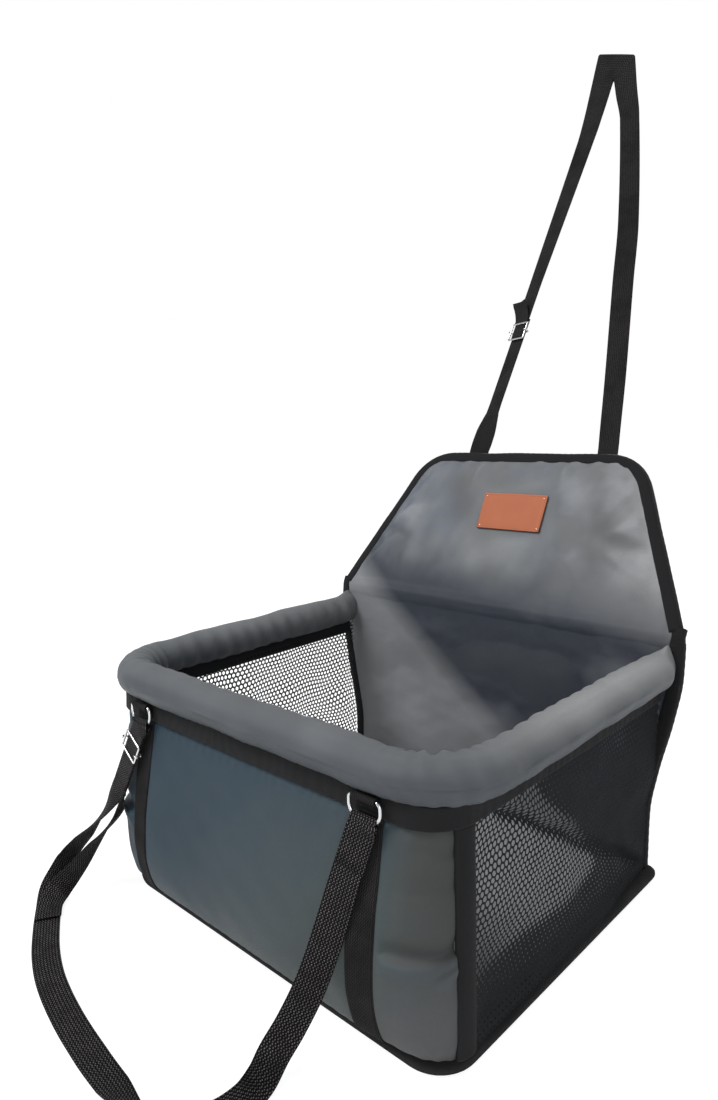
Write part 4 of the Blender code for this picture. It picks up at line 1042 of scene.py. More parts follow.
class SEAT_OT_shoulder_strap(bpy.types.Operator):
    """Shoulder strap, its spare end and its turns round the two D-rings"""

    bl_idname = "seat.shoulder_strap"
    bl_label = "Shoulder strap"

    def turn(self, side, direction, across, front_length, back_length):
        """Route of the strap's end round its ring, from its spare side to its long side."""
        seat = ring_seat(side)
        reach = RING_WIRE + 0.0006 + STRAP_THICKNESS / 2
        outward = facing_front(direction.cross(across).normalized())
        sideways = Vector((1.0, 0.0, 0.0))
        front = Vector((0.0, -1.0, 0.0))
        settled = seat + direction * LOOP_RUN_IN
        below = Vector((0.0, 0.0, -STRAP_STRAIGHT))
        back = outward * (-LAYER_PITCH / 2)
        route = [(settled + direction * (back_length - LOOP_RUN_IN) + back, across)]
        route.append((settled + back, across))
        route.append((seat - front * reach + below, sideways))
        for index in range(TURN_STEPS + 1):
            angle = math.pi * index / TURN_STEPS
            rise = Vector((0.0, 0.0, reach * math.sin(angle)))
            route.append((seat - front * reach * math.cos(angle) + rise, sideways))
        route.append((seat + front * reach + below, sideways))
        route.append((settled - back, across))
        route.append((settled + direction * (front_length - LOOP_RUN_IN) - back, across))
        return route

    def band(self, name, body, node, route):
        """One stretch of the strap."""
        made = strap_object(name, route, look="coarse_webbing")
        return finish_piece(made, body, "black_webbing", node)

    def execute(self, context):
        along, across, _ = left_strap()
        left = self.turn(-1, along, across, LEFT_DOUBLE_LENGTH, LEFT_DOUBLE_LENGTH)
        left_turn = self.band("strap_turn_left", "ring_left", "strap_end_left", smooth_route(left, 4))
        right_foot, right_across = (Vector(part) for part in STRAP_ROUTE[-1])
        reach = right_foot - ring_seat(1)
        down = reach.normalized()
        turned = squared_to(down, Vector((1.0, 0.0, 0.0)).lerp(right_across.normalized(), 0.5))
        right = self.turn(1, down, turned, reach.length * RIGHT_LONG_SHARE, RIGHT_DOUBLE_LENGTH)
        right_turn = self.band("strap_turn_right", "ring_right", "strap_end_right", smooth_route(right, 4))
        start, start_across = left[-1]
        end, end_across = right[-1]
        lead = 4 * STRAP_THICKNESS
        last = (end + (right[-1][0] - right[-2][0]).normalized() * CLOTH_GAP, end_across)
        lead_out = (last[0] + (last[0] - end).normalized() * lead, end_across)
        first = [(start + along * CLOTH_GAP, -start_across), (start + along * lead, -start_across)]
        route = smooth_route(first + STRAP_ROUTE[:-1] + [lead_out, last], 10)
        main = self.band("shoulder_strap", "root", "strap_main", route)
        start, start_across = left[0]
        spare = [(start + along * CLOTH_GAP, start_across), (start + along * lead, start_across)]
        tail = self.band("strap_spare_end", "root", "strap_tail", smooth_route(spare + TAIL_ROUTE, 10))
        path = [place for place, direction in route]
        run = sum((b - a).length for a, b in zip(path, path[1:]))
        return {"FINISHED"}


class SEAT_OT_rings(bpy.types.Operator):
    """D-rings and the webbing tabs that hold them"""

    bl_idname = "seat.rings"
    bl_label = "D-rings"

    def execute(self, context):
        half = RING_HALF_WIDTH
        corners = [((half - RING_CORNER, -RING_CORNER), RING_CORNER, math.pi / 2),
                   ((half - RING_BOW, RING_BOW - RING_HEIGHT), RING_BOW, 0.0),
                   ((RING_BOW - half, RING_BOW - RING_HEIGHT), RING_BOW, -math.pi / 2),
                   ((RING_CORNER - half, -RING_CORNER), RING_CORNER, math.pi)]
        outline = []
        for centre, radius, start in corners:
            outline += arc(centre, radius, start, start - math.pi / 2, 8)
        for side, name in ((-1, "left"), (1, "right")):
            middle = side * RING_SPREAD
            wire = [(middle + x, RING_Y, RING_Z + z) for x, z in outline]
            ring = wire_object(f"ring_wire_{name}", wire, RING_WIRE, closed=True)
            finish_piece(ring, f"ring_{name}", "bright_wire", f"d_ring_{name}")
            swell = float(front_crown(np.array(RING_SPREAD), np.array(WALL_TOP - 0.010)))
            tail = FRONT_Y - 0.0021 - swell
            loop = RING_WIRE + 0.00035 + 0.0006
            route = [((middle, tail - 0.0006, WALL_TOP - 0.0115), (1, 0, 0)),
                     ((middle, tail - 0.0012, WALL_TOP - 0.0070), (1, 0, 0))]
            for angle in np.radians(np.arange(285, 40, -15)):
                route.append(((middle, RING_Y - loop * math.cos(angle - math.pi),
                               RING_Z + loop * math.sin(angle)), (1, 0, 0)))
            route.append(((middle, tail - 0.0006, WALL_TOP - 0.0002), (1, 0, 0)))
            tab = strap_object(f"ring_loop_{name}", smooth_route(route, 3), STRAP_WIDTH - 0.001, 0.0012)
            finish_piece(tab, "root", "black_webbing", f"ring_tab_{name}")
        return {"FINISHED"}


def slider(name, body, centre, across, along, outward, height):
    """A wire frame and the bar that hooks round it."""
    half = SLIDER_INSIDE / 2 + SLIDER_WIRE
    ahead = DOUBLED_HALF + SLIDER_WIRE
    behind = DOUBLED_HALF + SLIDER_BAR
    loop = rounded_corners(half, height / 2, SLIDER_CORNER)
    wire = [centre + across * x + along * z + outward * ahead for x, z in loop]
    rim = wire_object(f"{name}_frame", wire, SLIDER_WIRE, closed=True)
    finish_piece(rim, body, "bright_wire", f"{body}_frame")
    hook = SLIDER_WIRE + CLOTH_GAP + SLIDER_BAR
    turn = [spot for spot in arc((half, ahead), hook, math.pi, -math.pi / 2, 24) if spot[0] >= half]
    right = turn + [(half + hook / 2, -behind + hook / 2), (half - hook, -behind)]
    left = [(-x, z) for x, z in right[::-1]]
    bar = [centre + across * x + outward * z for x, z in right + left]
    rod = wire_object(f"{name}_bar", bar, SLIDER_BAR)
    finish_piece(rod, body, "bright_wire", f"{body}_bar")


class SEAT_OT_sliders(bpy.types.Operator):
    """Wire sliders on the shoulder strap and on the headrest strap"""

    bl_idname = "seat.sliders"
    bl_label = "Strap sliders"

    def execute(self, context):
        along, across, outward = left_strap()
        slider("shoulder_buckle", "shoulder_slider", ring_seat(-1) + along * SHOULDER_SLIDER_AT,
               across, along, outward, SLIDER_HEIGHT)
        leg = HeadrestLeg()
        slider("headrest_buckle", "headrest_slider",
               flap_vector(leg.at(HEADREST_SLIDER_UP, 0.5)), flap_turn(leg.across), flap_turn(leg.along),
               flap_turn(leg.outward), HEADREST_SLIDER_HEIGHT)
        return {"FINISHED"}


def twisted(degrees):
    """The level direction across a strap that is turned by so many degrees."""
    angle = math.radians(degrees)
    return Vector((math.cos(angle), math.sin(angle), 0.0))


class HeadrestLeg:
    """The headrest strap's straight left leg, in the folding panel's frame."""

    def __init__(self):
        self.along = (LEFT_HEAD - LEFT_FOOT).normalized()
        self.across = squared_to(self.along, twisted(HEADREST_TWIST))
        self.outward = facing_front(self.across.cross(self.along).normalized())

    def at(self, up, layer):
        """A place on the leg at a height, so many layers of webbing outward."""
        spot = LEFT_FOOT + self.along * ((up - LEFT_FOOT.z) / self.along.z)
        return spot + self.outward * LAYER_PITCH * layer


class SEAT_OT_headrest_strap(bpy.types.Operator):
    """Strap that goes round the car's headrest, doubled under its slider"""

    bl_idname = "seat.headrest_strap"
    bl_label = "Headrest strap"

    def strap(self, name, body, node, route, steps, slanted=False):
        """A strap along a route that is given in the folding panel's frame."""
        smooth = smooth_route(route, steps, slanted)
        turned = [(flap_vector(place), flap_turn(across)) for place, across in smooth]
        return finish_piece(strap_object(name, turned), body, "black_webbing", node)

    def execute(self, context):
        leg = HeadrestLeg()
        sewn = Vector((LEFT_FOOT.x, HEADREST_BEHIND, HEADREST_SEWN_UP))
        lower = [(sewn, twisted(0)), (LEFT_FOOT, twisted(HEADREST_FOOT_TWIST))]
        lower += [(leg.at(up, 0), twisted(turn)) for up, turn in HEADREST_FOOT_TURNS]
        lower += [(leg.at(up, 0), leg.across) for up in (HEADREST_LAP_BELOW, HEADREST_LEG_END)]
        self.strap("headrest_leg", "flap", "headrest_strap_left", lower, 10)
        upper = [(leg.at(up, 1), leg.across) for up in (HEADREST_LAP_BELOW, HEADREST_LAP_ABOVE)]
        upper += [(Vector(spot), twisted(turn)) for spot, turn in LOOP_LEFT]
        upper += [(Vector(spot), Vector(across)) for spot, across in LOOP_FOLD]
        upper += [(Vector(spot), twisted(turn)) for spot, turn in LOOP_RIGHT]
        self.strap("headrest_loop", "flap", "headrest_strap_over", upper, 10, True)
        centre = leg.at(HEADREST_SLIDER_UP, 0.5)
        start = centre + leg.along * (HEADREST_SLIDER_HEIGHT / 2 + SLIDER_WIRE + CLOTH_GAP)
        start = start + leg.outward * (DOUBLED_HALF + SLIDER_WIRE)
        tip = start + leg.along * 0.026 + leg.outward * 0.008 - leg.across * 0.008
        near = start + leg.along * 3 * STRAP_THICKNESS
        far = near.lerp(tip, 0.5) - leg.outward * STRAP_THICKNESS
        tail = [(place, leg.across) for place in (start, near, far, tip)]
        self.strap("headrest_spare_end", "headrest_slider", "headrest_strap_tail", tail, 8)
        return {"FINISHED"}


class SEAT_OT_base(bpy.types.Operator):
    """Black base cloth with its bound edge, and the cushion inside"""

    bl_idname = "seat.base"
    bl_label = "Base"

    def outline(self, inset, steps=10):
        """The base's outline at an inset, in even steps, and the way along it."""
        right = BASE_WIDTH / 2 - inset
        back = BASE_DEPTH / 2 - inset
        front = max(BASE_CORNER - inset, 0.022)
        rear = max(0.010 - inset, 0.003)
        quarter = math.pi / 2
        spots = []
        for centre, radius, start in (((right - front, front - back), front, -quarter),
                                      ((right - rear, back - rear), rear, 0.0),
                                      ((rear - right, back - rear), rear, quarter),
                                      ((front - right, front - back), front, 2 * quarter)):
            spots += arc(centre, radius, start, start + quarter, steps)
        spots = np.array(spots + spots[:1])
        way = way_along(spots)
        even = np.linspace(0, way[-1], 481)[:-1]
        return np.stack([np.interp(even, way, spots[:, axis]) for axis in (0, 1)], axis=1), even

    def execute(self, context):
        outer, way = self.outline(0.0)
        out = raised(outward_of(around(outer)), 0.0)
        rings = []
        ripple = 0.0004 * waves(way, way * 0, 0.035, 21)
        for inset, height in BASE_SECTION:
            spot = raised(outer, height) + out * max(inset, -BASE_EDGE_WIDTH)
            if inset < -BASE_EDGE_WIDTH:
                spot[:, :2] *= 1 - np.clip(-inset / BASE_UNDER_REACH, 0, 1) * 0.97
            else:
                spot = spot + out * (ripple[:, None] * (height > 0.002))
            rings.append(spot)
        for shrink in (1.0, 0.03):
            rings.append(rings[-1] * (shrink, shrink, 1.0))
            rings[-1][:, 2] = BASE_CLOTH_TOP
        points = np.stack(rings, axis=0)
        cloth = cloth_grid(np.linspace(0, 0.2, len(rings)), way)
        relief = np.zeros(points.shape[:2])
        # Painted highlight, uneven, along the rounded top of the base's bound edge.
        relief[6:9] = 0.35 + 0.5 * waves(way, way * 0, 0.06, 22)
        made = grid_object("base_cover", points, cloth, relief, (False, True), "black_cloth")
        finish_piece(made, "root", "black_cloth", "base_cloth", "base_edge")
        self.cushion()
        return {"FINISHED"}

    def cushion(self):
        """The cushion's top, crowned and slightly uneven, over its straight side."""
        outline, _ = self.outline(CUSHION_INSET)
        rings = []
        for share, height, soft in CUSHION_SECTION:
            spot = raised(outline * share, height)
            spot[:, 2] += soft * 0.0010 * waves(spot[:, 0], spot[:, 1], 0.07, 23)
            rings.append(spot)
        points = np.stack(rings, axis=0)
        made = grid_object("base_cushion", points, points[:, :, :2], None, (False, True), "cushion_painted_light_fabric")
        finish_piece(made, "root", "grey_fabric", "base_pad")


class SEAT_OT_front(bpy.types.Operator):
    """Padded front wall, its corner bindings, webbings and the tape under the rim"""

    bl_idname = "seat.front"
    bl_label = "Front wall"

    def execute(self, context):
        along, height = even_grid((-FACE_END, FACE_END), (WALL_FOOT, WALL_TOP), 330, WALL_ROWS)
        dents = front_dents(along, height)
        front = wall_grid(along, height, dents)
        inner = wall_grid(along, height, -front_crown(along, height) - WALL_DEPTH)
        relief = relief_of(dents, 0.006)
        made = pad_object("front_padding", front, inner, "slate_fabric", "lining_fabric", relief)
        finish_piece(made, "root", "slate_fabric", "front_face", "front_foam", "front_lining")
        for side, name in ((-1, "left"), (1, "right")):
            self.corner(side, name)
            self.webbing(side, name)
        self.tape()
        return {"FINISHED"}

    def strip(self, name, along, height, reach, thickness, look, relief=None):
        """A thin closed cloth strip on the wall."""
        edge = np.zeros_like(along)
        edge[0] = edge[-1] = 1
        edge[:, 0] = edge[:, -1] = 1
        front = wall_grid(along, height, reach - edge * thickness * 0.35)
        back = wall_grid(along, height, reach - thickness)
        return pad_object(name, front, back, look, look, relief if relief is not None else edge * 0.0)

    def corner(self, side, name):
        """The black tape over the wall's corner edge."""
        across, height = even_grid((FACE_END - 0.0005, CORNER_END + 0.001), (WALL_FOOT, BAND_FOOT),
                                   22, WALL_ROWS)
        middle = (FACE_END + CORNER_END) / 2
        bulge = 0.0020 * np.sqrt(np.clip(1 - ((across - middle) / 0.0098) ** 2, 0, 1))
        rumple = 0.00035 * waves(across, height, 0.060, 31 + side)
        # Painted highlight and shade on the tape's rumples, and painted highlights along both its rolled
        # edges.
        relief = relief_of(rumple, 0.0016) + 0.35 * fold(np.abs(across - middle) - 0.0078, 0.0012)
        made = self.strip(f"corner_tape_{name}", side * across, height, bulge + rumple, 0.0018,
                          "black_cloth", relief)
        finish_piece(made, "root", "black_cloth", f"corner_binding_{name}")

    def webbing(self, side, name):
        """The flat webbing down the front under a ring, which lies over the cloth's dents."""
        half = STRAP_WIDTH / 2
        middle = side * RING_SPREAD
        across, height = even_grid((middle - half, middle + half), (WALL_FOOT, BAND_FOOT), 18, WALL_ROWS)
        reach = front_dents(across, height)
        level = reach.mean(axis=1, keepdims=True)
        reach = level + (reach - level) * 0.35
        made = self.strip(f"front_strap_{name}", across, height, reach + 0.0021, 0.0015, "black_webbing")
        finish_piece(made, "root", "black_webbing", f"front_webbing_{name}")

    def tape(self):
        """The black tape under the rim, round the front and both sides."""
        along, height = even_grid((-BAND_END, BAND_END), (BAND_FOOT - 0.0005, WALL_TOP + 0.0035), 900, 14)
        gather = 0.00012 * np.sin(along * TAU / STITCH_GATHER + 4 * waves(along, height, 0.06, 41))
        gather = gather + 0.0003 * waves(along, height, 0.045, 42)
        limit = HINGE_BACK - 0.0085
        sheets = [wall_grid(along, height, reach) for reach in (0.0021 + gather, 0.0004)]
        for sheet in sheets:
            sheet[:, :, 1] = np.minimum(sheet[:, :, 1], limit)
        made = pad_object("rim_tape", *sheets, "black_cloth", "black_cloth", relief_of(gather, 0.002))
        finish_piece(made, "root", "black_cloth", "rim_band")


class SEAT_OT_rim(bpy.types.Operator):
    """Padded rim tube with its gathers"""

    bl_idname = "seat.rim"
    bl_label = "Rim"

    def execute(self, context):
        back = back_line(WALL_TOP) - BIAS_HALF - CLOTH_GAP
        centre_x = RIM_HALF - RIM_CORNER
        centre_y = RIM_FRONT + RIM_CORNER
        path = [(-RIM_HALF, back)]
        path += arc((-centre_x, centre_y), RIM_CORNER, math.pi, 1.5 * math.pi, 30)
        path += arc((centre_x, centre_y), RIM_CORNER, 1.5 * math.pi, TAU, 30)
        path = np.array(path + [(RIM_HALF, back)])
        way = way_along(path)
        stations = np.linspace(0, way[-1], 620)
        spots = np.stack([np.interp(stations, way, path[:, axis]) for axis in (0, 1)], axis=1)
        outward = raised(outward_of(np.gradient(spots, axis=0)), 0.0)
        station, turn = np.meshgrid(stations, np.linspace(0, TAU, 72, endpoint=False), indexing="ij")
        bend = np.zeros_like(stations)
        arc_length = RIM_CORNER * math.pi / 2
        for middle in (way[1] + arc_length / 2, way[-2] - arc_length / 2):
            bend += fold(stations - middle, arc_length * 0.42)
        inner_side = np.clip(-np.cos(turn), 0, 1) ** 0.7
        gather = np.sin(station * TAU / RIM_GATHER + 3.0 * waves(station, turn * 0.02, 0.08, 51))
        deep = context.scene.seat_sizes.rim_pucker
        dents = deep * gather * bend[:, None] * (0.25 + inner_side)
        seam = fold(turn - 1.5 * math.pi - 0.15, 0.38)
        stitches = np.sin(station * TAU / RIM_STITCH + 2 * waves(station, turn, 0.05, 52))
        dents = dents + 0.0007 * seam * stitches
        dents = dents + 0.0009 * waves(station, turn * RIM_RADIUS, 0.075, 53)
        dents = dents + 0.0003 * waves(station, turn * RIM_RADIUS * 0.6, 0.034, 54)
        dents = dents + 0.0012 * inner_side * waves(station * 1.5, turn * RIM_RADIUS * 0.4, 0.030, 55)
        close = np.minimum(stations, way[-1] - stations)[:, None]
        pinch = 1 - ease(close / RIM_PINCH)
        radius = RIM_RADIUS - 0.0004 + dents * (1 - pinch)
        point = RIM_END_PEAK * fold(turn - 1.25, 0.34) * pinch ** 1.5
        profile = np.stack([np.cos(turn) * radius * (1 - 0.38 * pinch),
                            np.sin(turn) * radius + point], axis=2)
        up = np.tile(np.array([0.0, 0.0, 1.0]), (len(stations), 1))
        made = swept_object("rim_padding", raised(spots, RIM_HEIGHT), outward, up, profile, "grey_fabric",
                            relief_of(dents, 0.004))
        finish_piece(made, "root", "grey_fabric", "rim_sleeve", "rim_foam")
        return {"FINISHED"}


def net_fold(y, z):
    """Height above the fold that slants across the nets."""
    return z - 0.1946 + 0.618 * (y + 0.1175)


class SEAT_OT_nets(bpy.types.Operator):
    """Side nets: knitted mesh with real holes, drawn in towards the back"""

    bl_idname = "seat.nets"
    bl_label = "Side nets"

    def slack(self, y, z):
        """How far the knit closes up where it isn't pulled open: near its rear, its foot and its fold."""
        lobe = z - 0.1974 + 0.926 * (y + 0.0627)
        closed = ease((lobe + 0.004) / 0.012) * ease((y + 0.105) / 0.02) + ease((0.076 - z) / 0.022)
        closed = closed + ease((y - 0.045) / 0.025)
        closed = closed + 0.9 * fold(net_fold(y, z), 0.0045) * ease((y + 0.13) / 0.02)
        open_spot = 0.85 * fold(np.hypot(y - 0.105, (z - 0.181) * 0.8), 0.014)
        open_spot = open_spot + 0.40 * fold(np.hypot(y - 0.055, z - 0.165), 0.030)
        return np.clip(np.clip(closed, 0, 1) - open_spot + 0.08 * waves(y, z, 0.04, 66), 0, 1)

    def honeycomb(self, low_y, high_y, low_z, high_z, pitch, thread, slack):
        """Corners and faces of a sheet of six-sided holes, and the share of it that thread covers."""
        columns = int((high_y - low_y) / pitch)
        step_up = pitch * 0.86
        rows = int((high_z - low_z) / step_up)
        around_hole = np.radians([90, 150, 210, 270, 330, 30])
        radius = pitch / math.sqrt(3)
        corners, faces, known, covered = [], [], {}, []
        for row in range(rows):
            for column in range(columns):
                y = low_y + (column + 0.5 + 0.5 * (row % 2)) * pitch
                z = low_z + (row + 0.5) * step_up
                outer, inner = [], []
                shrink = 1 - thread / pitch - NET_CLOSING * float(slack(y, z))
                covered.append(1 - shrink ** 2)
                for angle in around_hole:
                    spot = (y + radius * math.cos(angle), z + radius * math.sin(angle))
                    key = (round(spot[0] * 4000), round(spot[1] * 4000))
                    if key not in known:
                        known[key] = len(corners)
                        corners.append(spot)
                    outer.append(known[key])
                    inner.append(len(corners))
                    corners.append((y + (spot[0] - y) * shrink, z + (spot[1] - z) * shrink))
                for index in range(6):
                    after = (index + 1) % 6
                    faces.append([outer[index], outer[after], inner[after], inner[index]])
        return np.array(corners), faces, float(np.mean(covered))

    def execute(self, context):
        sizes = context.scene.seat_sizes
        front = FRONT_Y + BASE_CORNER - 0.002
        outer = BASE_WIDTH / 2 - 0.0014
        for side, name, slack in ((-1, "left", lambda y, z: 0.1), (1, "right", self.slack)):
            spots, faces, covered = self.honeycomb(front, HINGE_BACK, WALL_FOOT - 0.001, WALL_TOP + 0.002,
                                                   sizes.net_pitch, sizes.net_thread, slack)
            y, z = spots[:, 0].copy(), spots[:, 1].copy()
            limit = back_line(z) - BIAS_HALF
            y = front + (y - front) * (limit - front) / (HINGE_BACK - front)
            way = np.clip((y - 0.050) / (limit - 0.050), 0, 1)
            inward = np.maximum(outer - back_half(z) - 0.001, 0) * ease(way)
            edge = ease((y - front) / 0.03) * ease((z - WALL_FOOT) / 0.02) * ease((WALL_TOP - z) / 0.02)
            edge = edge * ease((limit - y) / 0.02)
            crease = net_fold(y, z)
            sag = 1.3 * fold(crease, 0.006) - 0.8 * fold(crease - 0.014, 0.010)
            sag = sag + 0.55 * waves(y, z, 0.10, 61 + side) + 0.12 * waves(y, z, 0.03, 62)
            pull_y, pull_z = (0.0022 * edge * waves(y, z, 0.060, 63 + axis) for axis in (0, 1))
            x = side * (outer - 0.0008 - inward - sizes.net_sag * edge * (0.35 + sag))
            spots = np.stack([x, y + pull_y, z + pull_z], axis=1).tolist()
            made = mesh_object(f"mesh_side_{name}", spots, faces, FINISHES["black_net"])
            made.data.uv_layers.new(name="Weave")
            made.data.attributes.new("relief", "FLOAT", "POINT")
            made.data.shade_smooth()
            finish_piece(made, "root", "black_net", f"side_net_{name}")
            width, height = float(limit.max()) - front, WALL_TOP - WALL_FOOT + 0.003
            width * height * covered
        return {"FINISHED"}


def panel_dents(x, up, width, height, seed, gather=0.0009):
    """Soft dents of a padded back panel and its puckers along the binding."""
    edge = np.minimum(np.minimum(width - np.abs(x), up), height - up)
    soft = layered(x, up, ((0.0028, 0.15, seed), (0.0013, 0.065, seed + 1), (0.0003, 0.025, seed + 2)))
    pucker = gather * fold(edge - 0.021, 0.007) * waves(x, up, 0.020, seed + 3)
    return soft * ease((edge - 0.011) / 0.045) + pucker, edge


def binding_lengths(ways):
    """The binding's section, outward and through the panel, repeated at every place along it."""
    return (np.array(lengths)[None] + 0 * ways for lengths in zip(*BINDING_SECTION))


class SEAT_OT_back(bpy.types.Operator):
    """Lower and folding back panels, their bindings, the crease between them and the patch"""

    bl_idname = "seat.back"
    bl_label = "Back panels"

    def execute(self, context):
        self.lower()
        self.flap()
        self.crease()
        self.crease_tape(-1, "left")
        self.crease_tape(1, "right")
        self.patch(context.scene.seat_sizes.patch_radius)
        return {"FINISHED"}

    def lower(self):
        """The lower panel and its two side bindings."""
        top = HINGE_HEIGHT - CREASE_HALF_GAP
        share, z = even_grid((-1, 1), (WALL_FOOT, top), 190, 110)
        half = back_half(z)
        x = share * half
        dents, edge = panel_dents(x, z - WALL_FOOT, half, top - WALL_FOOT, 71, 0.0002)
        crown = 0.003 * ease(edge / 0.06) + np.maximum(dents, -0.0015) * 0.8
        made = pad_object("lower_back_padding", panel_spot(x, z, -PANEL_HALF - crown),
                          panel_spot(x, z, PANEL_HALF), "back_fabric", "black_cloth", relief_of(dents, 0.01))
        finish_piece(made, "root", "lining_fabric", "lower_back_face", "lower_back_foam", "lower_back_cloth")
        side = [(BACK_FOOT_HALF, WALL_FOOT), (BACK_FOOT_HALF, BACK_WAIST_HEIGHT),
                (BACK_HIP_HALF, BACK_HIP_HEIGHT), (BACK_HIP_HALF, top)]
        for sign, name in ((-1, "left"), (1, "right")):
            z = np.linspace(WALL_FOOT, top, 150)
            x = np.interp(z, [spot[1] for spot in side], [spot[0] for spot in side])
            x = np.convolve(np.pad(x, 8, "edge"), np.ones(17) / 17, "valid")
            self.bind(f"lower_back_tape_{name}", "root", f"back_binding_{name}",
                      np.stack([x, z], axis=1), sign, panel_spot, 81 + sign)

    def bind(self, name, body, node, path, sign, spot, seed):
        """A folded binding round a panel's edge, along a path of places on the panel."""
        out = outward_of(np.gradient(path, axis=0))
        way = way_along(path)
        ways, order = np.meshgrid(way, np.arange(len(BINDING_SECTION)), indexing="ij")
        rumple = 0.00022 * waves(ways, order * 0.004, 0.050, seed)
        rumple = rumple + 0.00006 * np.sin(ways * TAU / BINDING_GATHER)
        outward, through = binding_lengths(ways)
        through = through + np.sign(through) * rumple
        outward = outward + 1.5 * rumple * (outward > -0.002)
        x = path[:, :1] + out[:, :1] * outward
        up = path[:, 1:] + out[:, 1:] * outward
        points = spot(sign * x, up, through)
        cloth = cloth_grid(way, way_along(BINDING_SECTION))
        relief = relief_of(rumple, 0.0014)
        # Painted highlights along the binding's two rounded folds.
        relief[:, 1:3] += 0.30
        relief[:, 6:8] += 0.35
        made = grid_object(name, points, cloth, relief, (False, True), "black_cloth")
        finish_piece(made, body, "black_cloth", node)

    def flap(self):
        """The folding panel, with its soft creases, and its binding."""
        side, centre = flap_side()
        side = np.array(side)
        share, row = np.meshgrid(np.linspace(-1, 1, 200), np.arange(len(side)), indexing="xy")
        half, up = side[row, 0], side[row, 1]
        x = share * half
        dents, _ = panel_dents(x, up - CREASE_HALF_GAP + 0.02, half, FLAP_HEIGHT + 0.02, 91)
        edge = np.minimum((1 - np.abs(share)) * half, FLAP_HEIGHT - up)
        off_patch = np.maximum(np.abs(x - PATCH_SIDEWAYS) - PATCH_WIDTH / 2,
                               np.abs(up - PATCH_UP) - PATCH_HEIGHT / 2)
        for place_x, place_up, slant, length, width, depth in FLAP_CREASES:
            turn = math.radians(slant)
            run = (x - place_x) * math.cos(turn) + (up - place_up) * math.sin(turn)
            off = (up - place_up) * math.cos(turn) - (x - place_x) * math.sin(turn)
            reach = ease(1 - np.abs(run) / length) * ease((edge - 0.011) / 0.01)
            dents += 1.6 * depth * fold(off, width) * reach
        dents = np.clip(dents, -0.004, 0.004) * ease(off_patch / 0.018) * ease((up - 0.017) / 0.035)
        crown = FLAP_CROWN * np.minimum(ease(edge / 0.055), ease((up - CREASE_HALF_GAP) / 0.085)) + dents
        made = pad_object("flap_padding", flap_spot(x, up, -PANEL_HALF - crown), flap_spot(x, up, PANEL_HALF),
                          "back_fabric", "black_cloth", relief_of(dents, 0.0055))
        finish_piece(made, "flap", "grey_fabric", "flap_face", "flap_foam", "flap_cloth")
        top = raised(np.linspace(centre, -centre, 60)[1:-1, None], FLAP_HEIGHT)
        path = np.concatenate([side, top, side[::-1] * (-1, 1)])
        self.bind("flap_tape", "flap", "flap_binding", path, 1, flap_spot, 95)

    def crease(self):
        """Soft cloth across the fold, laid over both panels."""
        half = BACK_HIP_HALF - 0.0065
        reach = 0.018
        x, way = even_grid((-half, half), (-1, 1), 200, 25)
        along = np.abs(way) * reach
        cover = np.interp(along, (0, 0.003, 0.007, 0.010, 0.014, reach), CREASE_PROFILE)
        wave = 0.0005 * waves(x, way * 0.01, 0.05, 97) * fold(way, 0.6)
        sheets = []
        for face in (-1, 1):
            swell = cover if face < 0 else np.minimum(cover, -0.0004)
            depth = face * (PANEL_HALF + swell) + wave
            low = panel_spot(x, HINGE_HEIGHT - along, depth)
            high = flap_spot(x, along, depth)
            sheets.append(np.where((way < 0)[:, :, None], low, high))
        made = pad_object("crease_cover", sheets[0], sheets[1], "back_fabric", "black_cloth", wave * 0)
        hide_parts("crease_seam", "crease_cloth")
        over_fold(made, 0.0075)

    def crease_tape(self, side, name):
        """The panels' edge binding where it runs across the fold."""
        ways = np.linspace(-0.0085, 0.0085, 25)[:, None]
        out, through = binding_lengths(ways)
        tuck = 1 - 0.10 * fold(ways, 0.004)
        x = side * (BACK_HIP_HALF + (out - 0.0003) * tuck)
        low = panel_spot(x, HINGE_HEIGHT + ways, through * tuck * 0.985)
        high = flap_spot(x, ways, through * tuck * 0.985)
        share = ease(ways / 0.004 * 0.5 + 0.5)[:, :, None]
        points = low * (1 - share) + high * share
        relief = np.zeros(points.shape[:2])
        # Painted highlight along the binding's outer fold.
        relief[:, 6:8] = 0.35
        made = grid_object(f"crease_tape_{name}", points, cloth_lengths(points), relief, (False, True),
                           "black_cloth")
        over_fold(made, CREASE_HALF_GAP)

    def curl(self, sideways):
        """How far the patch stands off the panel towards its ends."""
        return 0.0009 * (np.abs(sideways) / (PATCH_WIDTH / 2)) ** 3

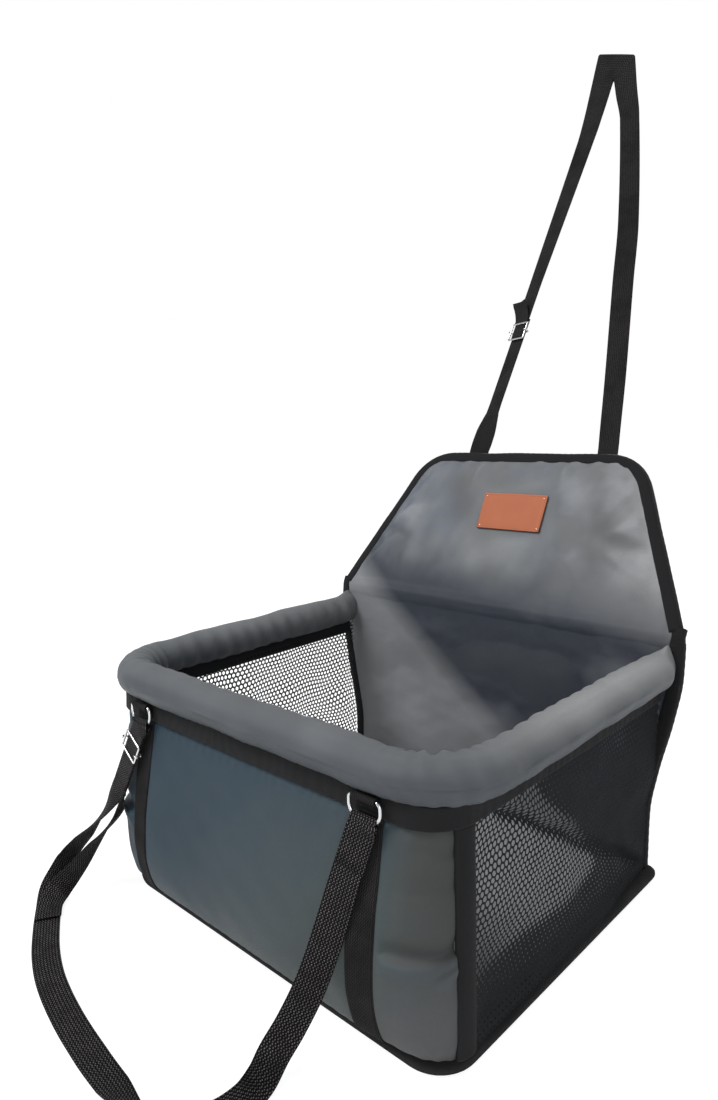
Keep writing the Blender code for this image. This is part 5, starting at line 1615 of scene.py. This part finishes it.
    def patch(self, corner):
        """The blank leather patch and the four pins at its corners."""
        width, height, thickness = PATCH_WIDTH, PATCH_HEIGHT, PATCH_THICKNESS
        base = PANEL_HALF + FLAP_CROWN + CLOTH_GAP
        outline = np.array(rounded_corners(width / 2, height / 2, corner))
        rings, relief = [], []
        for inset, depth, tone in PATCH_SECTION:
            shrunk = outline * (1 - inset / np.array([width / 2, height / 2]))
            through = -(base + thickness * depth) - self.curl(shrunk[:, 0])
            rings.append(flap_spot(PATCH_SIDEWAYS + shrunk[:, 0], PATCH_UP + shrunk[:, 1], through))
            relief.append(np.full(len(outline), tone))
        points = np.stack(rings)
        relief = np.stack(relief)
        # Painted shade along the patch's lower edge.
        relief[2:4] -= 0.9 * (outline[None, :, 1] < -height * 0.4)
        cloth = np.zeros(points.shape[:2] + (2,))
        made = grid_object("tan_patch", points, cloth, relief, (False, True), "brown_leather")
        finish_piece(made, "flap", "brown_leather", "leather_patch")
        turn = np.linspace(0, TAU, 16, endpoint=False)
        for across, name in ((-1, "left"), (1, "right")):
            for rise, end in ((-1, "low"), (1, "high")):
                middle = across * (width / 2 - PIN_INSET), rise * (height / 2 - PIN_INSET)
                dome = [flap_spot(PATCH_SIDEWAYS + middle[0] + radius * np.cos(turn),
                                  PATCH_UP + middle[1] + radius * np.sin(turn),
                                  0.0004 - base - thickness * 1.02 - self.curl(middle[0]) - high)
                        for radius, high in PIN_SECTION]
                dome = np.stack(dome)
                pin = grid_object(f"patch_pin_{name}_{end}", dome, dome[:, :, :2], None, (False, True),
                                  "bright_wire")
                finish_piece(pin, "flap", "bright_wire")


class SEAT_OT_inner_parts(bpy.types.Operator):
    """Finishes of the board and pipes that stay inside the cloth"""

    bl_idname = "seat.inner_parts"
    bl_label = "Inner parts"

    def execute(self, context):
        slots = {part["node"]: part["material_slot"] for part in frame["record"]["subparts"]}
        for name, node in NODES.items():
            if not node.hide_render:
                node.data.materials.clear()
                node.data.materials.append(FINISHES[slots[name]])
        return {"FINISHED"}


class SEAT_PT_panel(bpy.types.Panel):
    """Lists the car seat's pieces"""

    bl_idname = "SEAT_PT_panel"
    bl_label = "Car seat"
    bl_space_type = "VIEW_3D"
    bl_region_type = "UI"
    bl_category = "Car seat"

    def draw(self, context):
        for group in (context.scene.seat_sizes, context.scene.seat_colours):
            for name in group.__annotations__:
                self.layout.prop(group, name)
        for step in STEPS:
            self.layout.operator(step.bl_idname)


STEPS = (SEAT_OT_stage, SEAT_OT_shoulder_strap, SEAT_OT_rings, SEAT_OT_sliders, SEAT_OT_headrest_strap,
         SEAT_OT_base, SEAT_OT_front, SEAT_OT_rim, SEAT_OT_nets, SEAT_OT_back, SEAT_OT_inner_parts)
CLASSES = (SeatSizes, SeatColours, *STEPS, SEAT_PT_panel)


def register():
    """Adds the classes and the scene's settings."""
    for one in CLASSES:
        bpy.utils.register_class(one)
    bpy.types.Scene.seat_sizes = PointerProperty(type=SeatSizes)
    bpy.types.Scene.seat_colours = PointerProperty(type=SeatColours)


def unregister():
    """Takes the scene's settings and the classes away again."""
    del bpy.types.Scene.seat_colours
    del bpy.types.Scene.seat_sizes
    for one in reversed(CLASSES):
        bpy.utils.unregister_class(one)


def main():
    """Builds all pieces."""
    register()
    make_finishes(bpy.context.scene.seat_colours)
    for step in STEPS:
        group, name = step.bl_idname.split(".")
        getattr(getattr(bpy.ops, group), name)()
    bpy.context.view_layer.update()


if __name__ == "__main__":
    main()
